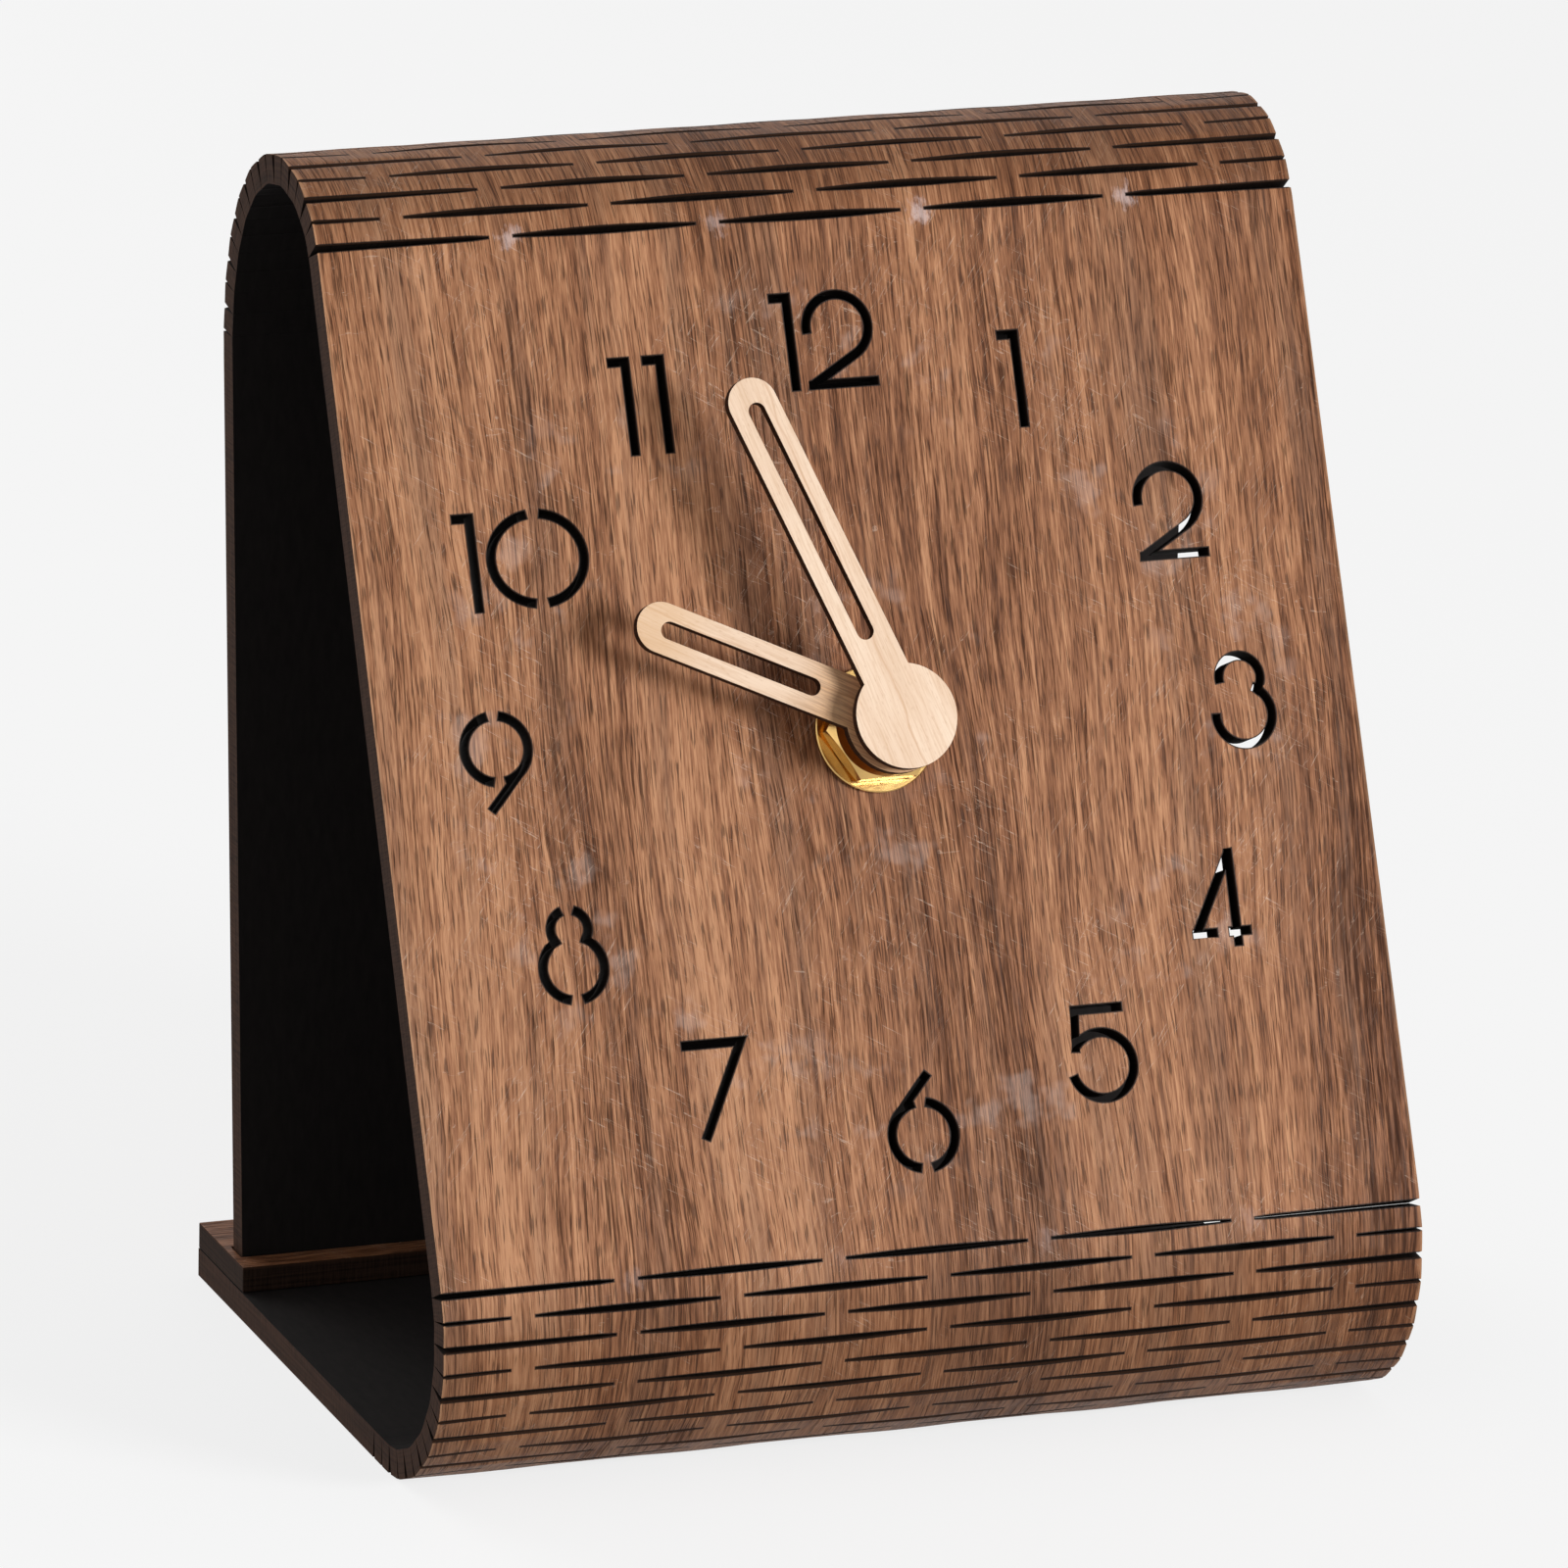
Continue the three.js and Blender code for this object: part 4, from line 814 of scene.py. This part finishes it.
def split_bowl(y, radius, half_bridge, radius_y=None):
    """A ring in two halves, with a bridge between them at its top and its bottom."""
    gap = math.degrees(math.asin(half_bridge / radius))
    return [arc(0, y, radius, 90 + gap, 270 - gap, radius_y),
            arc(0, y, radius, -90 + gap, 90 - gap, radius_y)]


# Each numeral is its half width and its strokes

def glyph_zero():
    half_width, half_bridge = 0.535, 0.068
    return half_width, split_bowl(0, half_width - HALF_STROKE, half_bridge, TOP)


def glyph_one():
    width, shift = 0.227, -0.05
    stem = shift + width / 2 - HALF_STROKE
    return width / 2, [[(shift - width / 2, TOP), (stem, TOP), (stem, -CAP)]]


def glyph_two():
    outer, foot_end, hook = 0.376, 0.33, 188
    radius = outer - HALF_STROKE
    y = CAP - outer
    leave = tangent_degrees(-foot_end, FOOT, y, radius)
    return outer, [arc(0, y, radius, hook, leave) + [(-foot_end, FOOT)],
                   [(-outer, FOOT), (outer, FOOT)]]


def glyph_three():
    upper_share, lower_share, cusp, top_hook, foot_hook = 0.269, 0.348, 12, 190, -185
    upper, lower = upper_share - HALF_STROKE, lower_share - HALF_STROKE
    meet_upper, meet_lower = bowl_crossing(upper, lower, 1 - upper_share - lower_share)
    return lower_share, [arc(0, CAP - upper_share, upper, top_hook, meet_upper - cusp),
                         arc(0, lower_share - CAP, lower, meet_lower + cusp, foot_hook)]


def glyph_four():
    half_width, stem, bar, corner, bridge_start, bridge_end = 0.317, 0.168, -0.351, 0.275, -0.05, 0.08
    return half_width, [[(stem, CAP), (stem, -CAP)], [(stem, TOP), (-corner, bar)],
                        [(-half_width, bar), (bridge_start, bar)], [(bridge_end, bar), (half_width, bar)]]


def glyph_five():
    bowl, arm, neck, waist, waist_y, start, end = 0.379, 0.28, 0.235, 0.27, 0.035, 138, -165
    radius = bowl - HALF_STROKE
    return bowl, [[(arm, TOP), (-neck, TOP), (-waist, waist_y)],
                  arc(0, bowl - CAP, radius, start, end)]


def glyph_six():
    bowl, tail, half_bridge = 0.379, 0.12, 0.062
    radius = bowl - HALF_STROKE
    y = bowl - CAP
    touch = math.radians(tangent_degrees(tail, CAP, y, radius))
    stem = [(tail, CAP), (radius * math.cos(touch), y + radius * math.sin(touch))]
    return bowl, split_bowl(y, radius, half_bridge) + [stem]


def glyph_seven():
    half_width, corner, foot = 0.44, 0.185, 0.295
    return half_width, [[(-half_width, TOP), (corner, TOP), (-foot, -CAP)]]


def glyph_eight():
    upper_share, lower_share, half_bridge, cusp = 0.241, 0.366, 0.065, 8
    upper, lower = upper_share - HALF_STROKE, lower_share - HALF_STROKE
    meet_upper, meet_lower = bowl_crossing(upper, lower, 1 - upper_share - lower_share)
    upper_gap = math.degrees(math.asin(half_bridge / upper))
    lower_gap = math.degrees(math.asin(half_bridge / lower))
    right = [arc(0, CAP - upper_share, upper, 90 - upper_gap, meet_upper - cusp),
             arc(0, lower_share - CAP, lower, meet_lower + cusp, -90 + lower_gap)]
    left = [[(-x, y) for x, y in stroke] for stroke in right]
    return lower_share, right + left


def glyph_nine():
    half_width, strokes = glyph_six()
    return half_width, [[(-x, -y) for x, y in stroke] for stroke in strokes]


GLYPHS = [glyph_zero(), glyph_one(), glyph_two(), glyph_three(), glyph_four(), glyph_five(),
          glyph_six(), glyph_seven(), glyph_eight(), glyph_nine()]


def stroke_outline(points, width):
    """The outline of a pen stroke along the points, with square ends and mitred corners."""
    def edge(side):
        moved = []
        for i, (x, y) in enumerate(points):
            px, py = points[max(i - 1, 0)]
            nx, ny = points[min(i + 1, len(points) - 1)]
            before = math.atan2(y - py, x - px)
            after = math.atan2(ny - y, nx - x)
            a = before if i > 0 else after
            b = after if i < len(points) - 1 else before
            turn = math.atan2(math.sin(b - a), math.cos(b - a))
            normal = a + turn / 2 + math.pi / 2
            reach = side * width / 2 / math.cos(turn / 2)
            moved.append((x + reach * math.cos(normal), y + reach * math.sin(normal)))
        return moved
    return edge(-1) + edge(1)[::-1]


def pushed_out(end, inner, by):
    """The end of a line, moved away from the point before it."""
    (x, y), (inner_x, inner_y) = end, inner
    length = math.hypot(x - inner_x, y - inner_y)
    return x + (x - inner_x) * by / length, y + (y - inner_y) * by / length


def lengthened(points, by):
    """An open line with both its ends pushed out."""
    start = pushed_out(points[0], points[1], by)
    end = pushed_out(points[-1], points[-2], by)
    return [start] + points[1:-1] + [end]


def numeral_cuts(grown=0.0):
    cuts = []
    for hour in range(1, 13):
        digits = [GLYPHS[int(digit)] for digit in str(hour)]
        gap = ELEVEN_GAP if hour == 11 else LETTER_GAP
        widths = [2 * half_width * NUMERAL_HEIGHT for half_width, _ in digits]
        angle = math.radians(HOUR_DEGREES * hour)
        left = NUMERAL_RING_RADIUS * math.sin(angle) - (sum(widths) + gap * (len(digits) - 1)) / 2
        middle = face_middle_s + NUMERAL_RING_RADIUS * math.cos(angle)
        for (_, strokes), width in zip(digits, widths):
            x = left + width / 2
            for stroke in strokes:
                line = [(x + px * NUMERAL_HEIGHT, middle + py * NUMERAL_HEIGHT) for px, py in stroke]
                cuts.append(stroke_outline(lengthened(line, grown), NUMERAL_STROKE + 2 * grown))
            left += width + gap
    return cuts


# Board

def board_place(x, s, side):
    """A point of the board, with the cuts narrower on the inner face and the strips bowed."""
    row = path.row_at(s)
    run = s - row.s
    n = HALF_THICKNESS * side
    if side < 0 and abs(run) < KERF_PITCH / 4 - TOLERANCE:
        s = row.s + run * (INNER_CUT_SHARE if abs(x) < OPEN_CUTS_FROM else OPEN_CUT_SHARE)
    bow = 0.0
    if row.bows and abs(run) < KERF_PITCH / 2:
        wave = math.cos(math.tau * x / KERF_PERIOD) * (1 if row.centred else -1)
        bow = STRIP_BOW * wave * math.cos(math.pi * run / KERF_PITCH)
    return (x, *path.place(s, n + bow)), n


def board_outline():
    foot = HALF_WIDTH - PANEL_FOOT_INSET
    right = [(HALF_WIDTH, 0.0), (HALF_WIDTH, path.panel_s + KERF_PITCH), (foot, path.end_s)]
    return right + [(-x, s) for x, s in reversed(right)]


def board_lines():
    """Lines across the bends, close enough for the mesh to follow their curve."""
    lines = []
    count = round(BOARD_WIDTH / LINE_STEP)
    xs = [-HALF_WIDTH + BOARD_WIDTH * i / count for i in range(count + 1)]
    for name in ("bottom", "top"):
        rows = path.band(name)
        first = rows[0].s - KERF_PITCH / 2
        for k in range(len(rows) * LINES_PER_PITCH + 1):
            s = first + k * KERF_PITCH / LINES_PER_PITCH
            lines.append([(x, s) for x in xs])
    return lines


def circle(x, y, radius):
    return arc(x, y, radius, 0, 360 - ARC_STEP)


def walnut_board():
    hole = circle(0, face_middle_s, SHAFT_HOLE_RADIUS)
    cuts = kerf_cuts() + numeral_cuts() + [hole]
    rims = kerf_cuts(KERF_SCORCH) + numeral_cuts(NUMERAL_SCORCH)
    rims.append(circle(0, face_middle_s, SHAFT_HOLE_RADIUS + HOLE_SCORCH))
    lines = board_lines() + [rim + rim[:1] for rim in rims]
    materials = [walnut("walnut_veneer", bends=True), black_face(), board_cut,
                 burnt_edge("board_side", srgb(34, 24, 20), srgb(78, 56, 45))]
    mesh = slab("walnut_board", board_outline(), cuts, lines, board_place, materials)
    board = finish_mesh(mesh, "clock_body")
    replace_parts(board, "bent_board")


board_cut = burnt_edge("board_cut_wall", srgb(9, 7, 6), srgb(30, 22, 18))
walnut_board()


# Foot bar

# Keeps the rounded ends of the bar within the board's width
BAR_END_INSET = 0.03

# Where the bar lies in the veneer's grain, which runs along it
BAR_SEAT = 90.0


def foot_bar():
    low = THICKNESS + GLUE_LINE
    high = low + FOOT_BAR_THICKNESS
    rear = BASE_LENGTH / 2
    slot_y = path.panel_foot_y + math.tan(BACK_LEAN) * HALF_THICKNESS
    slot_width = THICKNESS + math.tan(BACK_LEAN) * THICKNESS + 2 * SLOT_CLEARANCE
    slot_half = HALF_WIDTH - PANEL_FOOT_INSET + SLOT_CLEARANCE

    def box(half, near, far):
        return [(-half, near), (half, near), (half, far), (-half, far)]

    def place(x, y, side):
        return (x, y, high if side > 0 else low), HALF_THICKNESS * side

    veneer = walnut("rail_veneer", (-20.0, 40.0, 0.0))
    # Painted shade: the bar's edges and underside take a darker copy of the board's side colour, for the
    # shade under the board.
    side = burnt_edge("rail_side_painted_shade", srgb(20, 13, 10), srgb(56, 40, 32))
    body = box(HALF_WIDTH - BAR_END_INSET, rear - FOOT_BAR_DEPTH, rear)
    slot = box(slot_half, slot_y - slot_width / 2, slot_y + slot_width / 2)
    mesh = slab("foot_rail", body, [slot], [], place, [veneer, side, board_cut, side])
    for item in mesh.attributes["sheet"].data:
        x, y, n = item.vector
        item.vector = (y + BAR_SEAT, x, n)
    made = finish_mesh(mesh, "clock_body")
    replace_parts(made, "foot_bar")
    soften(made, 0.15)


foot_bar()


# Fixings on the shaft, with heights from the dial's face

SHAFT_BORE = 4.3
WASHER_RADIUS = 8.6
WASHER_LOW = 0.3
WASHER_HIGH = 1.1
WASHER_CHAMFER = 0.15
NUT_FLAT = 7.0
NUT_LOW = 1.4
NUT_HIGH = 4.4
NUT_FACE_RADIUS = NUT_FLAT * 0.985
NUT_CHAMFER_SLOPE = math.tan(math.radians(30))
NUT_LEAD = 0.35
BUSHING_RADIUS = 4.0
BUSHING_BORE = 2.85
BUSHING_REACH = 6.2
BUSHING_CHAMFER = 0.1
THREAD_PITCH = 0.75
THREAD_DEPTH = 0.38
THREAD_FOOT = (0.05, 0.70)
THREAD_CREST = (0.33, 0.43)
RUBBER_RADIUS = 10.0
RUBBER_LOW = -5.3
RUBBER_HIGH = -4.3
RUBBER_CHAMFER = 0.2
CASE_FLOOR = -7.1


def add_fixing(name, replaced, profile_at, count, material, smooth=35):
    mesh = revolved(name, profile_at, count, [material], dial_frame, smooth)
    made = finish_mesh(mesh, "clock_body")
    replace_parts(made, replaced)


def ring(outer, bore, low, high, c):
    """A flat ring with chamfers of a width c."""
    profile = [(bore, low + c), (bore + c, low), (outer - c, low), (outer, low + c),
               (outer, high - c), (outer - c, high), (bore + c, high), (bore, high - c)]
    return lambda angle: profile


def nut_profile(angle):
    """A hexagon whose corners are turned down, and a bore with a lead at both ends."""
    sixth = math.pi / 3
    radius = NUT_FLAT / math.cos((angle % sixth) - sixth / 2)
    drop = (radius - NUT_FACE_RADIUS) * NUT_CHAMFER_SLOPE
    return [(SHAFT_BORE, NUT_LOW + NUT_LEAD), (SHAFT_BORE + NUT_LEAD, NUT_LOW),
            (NUT_FACE_RADIUS, NUT_LOW), (radius, NUT_LOW + drop),
            (radius, NUT_HIGH - drop), (NUT_FACE_RADIUS, NUT_HIGH),
            (SHAFT_BORE + NUT_LEAD, NUT_HIGH), (SHAFT_BORE, NUT_HIGH - NUT_LEAD)]


def bushing_profile(angle):
    """Fine thread: one ridge for each pitch, shifted round the shaft."""
    root = BUSHING_RADIUS - THREAD_DEPTH
    start = CASE_FLOOR + THREAD_FOOT[0]
    shift = THREAD_PITCH * angle / math.tau
    turns = int((BUSHING_REACH - start) / THREAD_PITCH) - 1
    profile = [(BUSHING_BORE, CASE_FLOOR), (root, CASE_FLOOR)]
    for i in range(turns):
        base = start + i * THREAD_PITCH + shift
        profile.append((root, base + THREAD_FOOT[0]))
        profile.extend((BUSHING_RADIUS, base + height) for height in THREAD_CREST)
        profile.append((root, base + THREAD_FOOT[1]))
    below = BUSHING_REACH - BUSHING_CHAMFER
    profile.extend([(root, below), (root - BUSHING_CHAMFER, BUSHING_REACH),
                    (BUSHING_BORE + BUSHING_CHAMFER, BUSHING_REACH), (BUSHING_BORE, below)])
    return profile


polished = brass("polished_brass", 0.17)
rubber = plastic("black_rubber", (34, 33, 33), 0.85, 3.0, 0.05)
washer_ring = ring(WASHER_RADIUS, SHAFT_BORE, WASHER_LOW, WASHER_HIGH, WASHER_CHAMFER)
rubber_ring = ring(RUBBER_RADIUS, SHAFT_BORE, RUBBER_LOW, RUBBER_HIGH, RUBBER_CHAMFER)
add_fixing("washer_disc", "brass_washer", washer_ring, 96, polished)
add_fixing("shaft_nut", "hex_nut", nut_profile, 180, polished, 24)
add_fixing("shaft_bushing", "threaded_bushing", bushing_profile, 72, polished, 40)
add_fixing("rubber_pad", "rubber_washer", rubber_ring, 96, rubber)


# Hands

HAND_THICKNESS = 1.5
ARM_WIDTH = 7.0
HUB_RADIUS = 7.15
SLOT_WIDTH = 2.4
SLOT_START = 12.6
HAND_GRAIN_TURN = math.radians(-3.0)


def hand(name, node, body, reach, low, degrees, bore, shift):
    """A slotted arm with a round hub. A bore of 0 leaves the hub closed."""
    half = ARM_WIDTH / 2
    slot_half = SLOT_WIDTH / 2
    neck = math.degrees(math.asin(half / HUB_RADIUS))
    outer = arc(0, reach, half, 0, 180) + arc(0, 0, HUB_RADIUS, 90 + neck, 450 - neck)
    cuts = [arc(0, reach - slot_half, slot_half, 0, 180)
            + arc(0, SLOT_START, slot_half, 180, 360)]
    if bore:
        cuts.append(circle(0, 0, bore))
    turned = dial_frame @ Matrix.Rotation(math.radians(degrees), 4, "Z")

    def place(x, y, side):
        height = low + (HAND_THICKNESS if side > 0 else 0.0)
        point = turned @ (Vector((x, y, height)) * MM)
        return point / MM, side * HAND_THICKNESS / 2

    wood = maple(name + "_maple", HAND_GRAIN_TURN, shift, bore > 0)
    mesh = slab(name, outer, cuts, [], place, [wood, wood, hand_edge, hand_edge])
    made = finish_mesh(mesh, body)
    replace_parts(made, node)
    soften(made, 0.08)


hand_edge = burnt_hand_edge()
hand("minute_hand_blade", "minute_hand", "minute_group", reach=46.4, low=12.0, degrees=20.5,
     bore=0.0, shift=(0.0, 0.0, 0.0))
hand("hour_hand_blade", "hour_hand", "hour_group", reach=34.8, low=7.9, degrees=64.6,
     bore=2.85, shift=(17.0, 40.0, 0.0))


# Materials of the CAD nodes that stay

def paint(material, *names, bevel=0.0):
    for name in names:
        for slot in nodes[name].material_slots:
            slot.material = material
        if bevel:
            soften(nodes[name], bevel, weld=True)


plain_steel = metal("plain_steel", (176, 176, 180), 0.28)
paint(plastic("case_plastic", (24, 24, 25), 0.5), "movement_case", "movement_back_cover", bevel=0.25)
paint(plastic("wheel_plastic", (226, 224, 214), 0.35, 2.0, 0.01), "hour_wheel", "motion_wheel",
      "third_wheel", "seconds_wheel", "intermediate_wheel", "coil_bobbin", bevel=0.05)
paint(plastic("knob_plastic", (222, 220, 210), 0.4, 3.0, 0.02), "set_knob", bevel=0.12)
paint(brass("wheel_brass", 0.28), "minute_arbor", "centre_wheel", "minute_hand_bush",
      "hour_hand_bush", bevel=0.05)
paint(plain_steel, "rotor", "stator", "coil_core",
      "quartz_crystal", "contact_positive", "contact_negative", bevel=0.05)
paint(metal("copper_wire", (196, 112, 66), 0.32, (14.0, 0.6, 0.6)), "coil_winding", bevel=0.1)
paint(plastic("circuit_laminate", (40, 92, 56), 0.4, 4.0, 0.01), "circuit_board", bevel=0.05)
paint(plastic("chip_resin", (20, 20, 20), 0.35, 3.0, 0.02), "clock_chip")


# Battery

BATTERY_RADIUS = 7.25
BATTERY_HALF = 25.1
BATTERY_SHOULDER = 23.9
BATTERY_NUB_RADIUS = 2.75
BATTERY_BAND_START = 10.5
BATTERY_Y = -18.75
BATTERY_Z = -14.65


def battery():
    """A steel can in a plain two-coloured wrap, with its raised end towards +x."""
    low = -BATTERY_HALF
    lip = BATTERY_RADIUS - 0.2
    bare_low = [(0.0, low), (4.0, low), (4.3, low + 0.25), (5.6, low + 0.25), (5.9, low), (6.6, low)]
    wrapped = [(lip, low + 0.15), (BATTERY_RADIUS, low + 0.6), (BATTERY_RADIUS, BATTERY_BAND_START)]
    banded = [(BATTERY_RADIUS, BATTERY_SHOULDER - 0.6), (lip, BATTERY_SHOULDER - 0.15),
              (6.5, BATTERY_SHOULDER)]
    bare_high = [(6.3, BATTERY_SHOULDER - 0.3), (4.4, BATTERY_SHOULDER - 0.3),
                 (4.1, BATTERY_SHOULDER - 0.1), (BATTERY_NUB_RADIUS, BATTERY_SHOULDER - 0.1),
                 (BATTERY_NUB_RADIUS - 0.1, BATTERY_HALF - 0.25),
                 (BATTERY_NUB_RADIUS - 0.35, BATTERY_HALF), (0.0, BATTERY_HALF)]
    profile = bare_low + wrapped + banded + bare_high
    steel, wrap, band = range(3)
    slots = [steel] * len(bare_low) + [wrap] * 2 + [band] * len(banded) + [steel] * (len(bare_high) + 1)
    materials = [plain_steel, plastic("battery_wrap", (38, 52, 74), 0.28, 1.0, 0.01),
                 metal("battery_band", (196, 138, 96), 0.3, (0.3, 0.3, 0.3))]
    along = dial_frame @ Matrix.Translation(Vector((0.0, BATTERY_Y, BATTERY_Z)) * MM)
    along = along @ Matrix.Rotation(math.pi / 2, 4, "Y")
    mesh = revolved("battery_cell", lambda angle: profile, 96, materials, along, 30, slots)
    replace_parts(finish_mesh(mesh, "clock_body"), "battery")


battery()


# Floor, light and camera

FLOOR_HALF = 12.0
FLOOR_DROP = 0.0001
FLOOR_GLOW = 0.78
WORLD_STRENGTH = 0.36
CAMERA_SENSOR = 36.0
CAMERA_LENS = 285.8
CAMERA_TURN = Vector((1.8433, -0.3096, 0.2605))
CAMERA_FROM_DIAL = Vector((-568.7, -1501.7, 471.7))


def floor():
    """A pale floor: near white where it is seen, and greyer in the light that it throws back."""
    half = FLOOR_HALF
    corners = [(-half, -half, 0), (half, -half, 0), (half, half, 0), (-half, half, 0)]
    g = material_graph("floor_white")
    grain = g.noise(g.place(), Layer((0.02, 0.02, 0.02)))
    pale = g.ramp(grain, [(0.0, srgb(240, 240, 240)), (1.0, srgb(243, 243, 243))])
    diffuse = g.node("ShaderNodeBsdfDiffuse", pale).outputs[0]
    glow = g.node("ShaderNodeEmission", WHITE, 1.0).outputs[0]
    bright = g.node("ShaderNodeMixShader", FLOOR_GLOW, diffuse, glow).outputs[0]
    plain = g.node("ShaderNodeBsdfDiffuse", srgb(150, 150, 150)).outputs[0]
    white = g.finish(g.node("ShaderNodeMixShader", g.direct_view(), plain, bright))
    mesh = new_mesh("studio_floor", corners, [(0, 1, 2, 3)], [white], [0])
    made = new_object("studio_floor", mesh)
    made.location.z = -FLOOR_DROP


def world():
    """A white surround: plain white where it is seen, and weaker as light."""
    scene.world = bpy.data.worlds.new("studio")
    g = Graph(scene.world, "ShaderNodeOutputWorld")
    strength = g.clamp(g.direct_view(), 0.0, 1.0, WORLD_STRENGTH, 1.0)
    g.finish(g.node("ShaderNodeBackground", WHITE, strength))


def lamp(name, direction, distance, size, power):
    """A round lamp, its distance and size in metres, that shines at the middle of the dial."""
    data = bpy.data.lights.new(name, "AREA")
    data.shape = "DISK"
    data.size = size
    data.energy = power
    made = new_object(name, data)
    way = Vector(direction).normalized()
    made.location = DIAL + way * distance
    made.rotation_mode = "QUATERNION"
    made.rotation_quaternion = way.to_track_quat("Z", "Y")


def camera():
    """The turn gives the view's right, down and forward as the rows of its matrix."""
    data = bpy.data.cameras.new("photo_camera")
    data.sensor_width = CAMERA_SENSOR
    data.lens = CAMERA_LENS
    data.clip_start = 0.05
    data.clip_end = 50.0
    made = new_object("photo_camera", data)
    right, down, forward = Matrix.Rotation(CAMERA_TURN.length, 3, CAMERA_TURN.normalized())
    axes = Matrix((right, -down, -forward)).transposed()
    made.matrix_world = Matrix.Translation(DIAL + CAMERA_FROM_DIAL * MM) @ axes.to_4x4()
    scene.camera = made


floor()
world()
lamp("key", (0.527, -0.818, 0.229), distance=1.3, size=0.46, power=15.6)
lamp("fill", (-0.75, -0.6, 0.35), distance=1.6, size=1.0, power=2.0)
lamp("back", (-0.45, 0.8, 0.4), distance=1.6, size=1.0, power=7.0)
camera()

scene.view_settings.view_transform = "Standard"
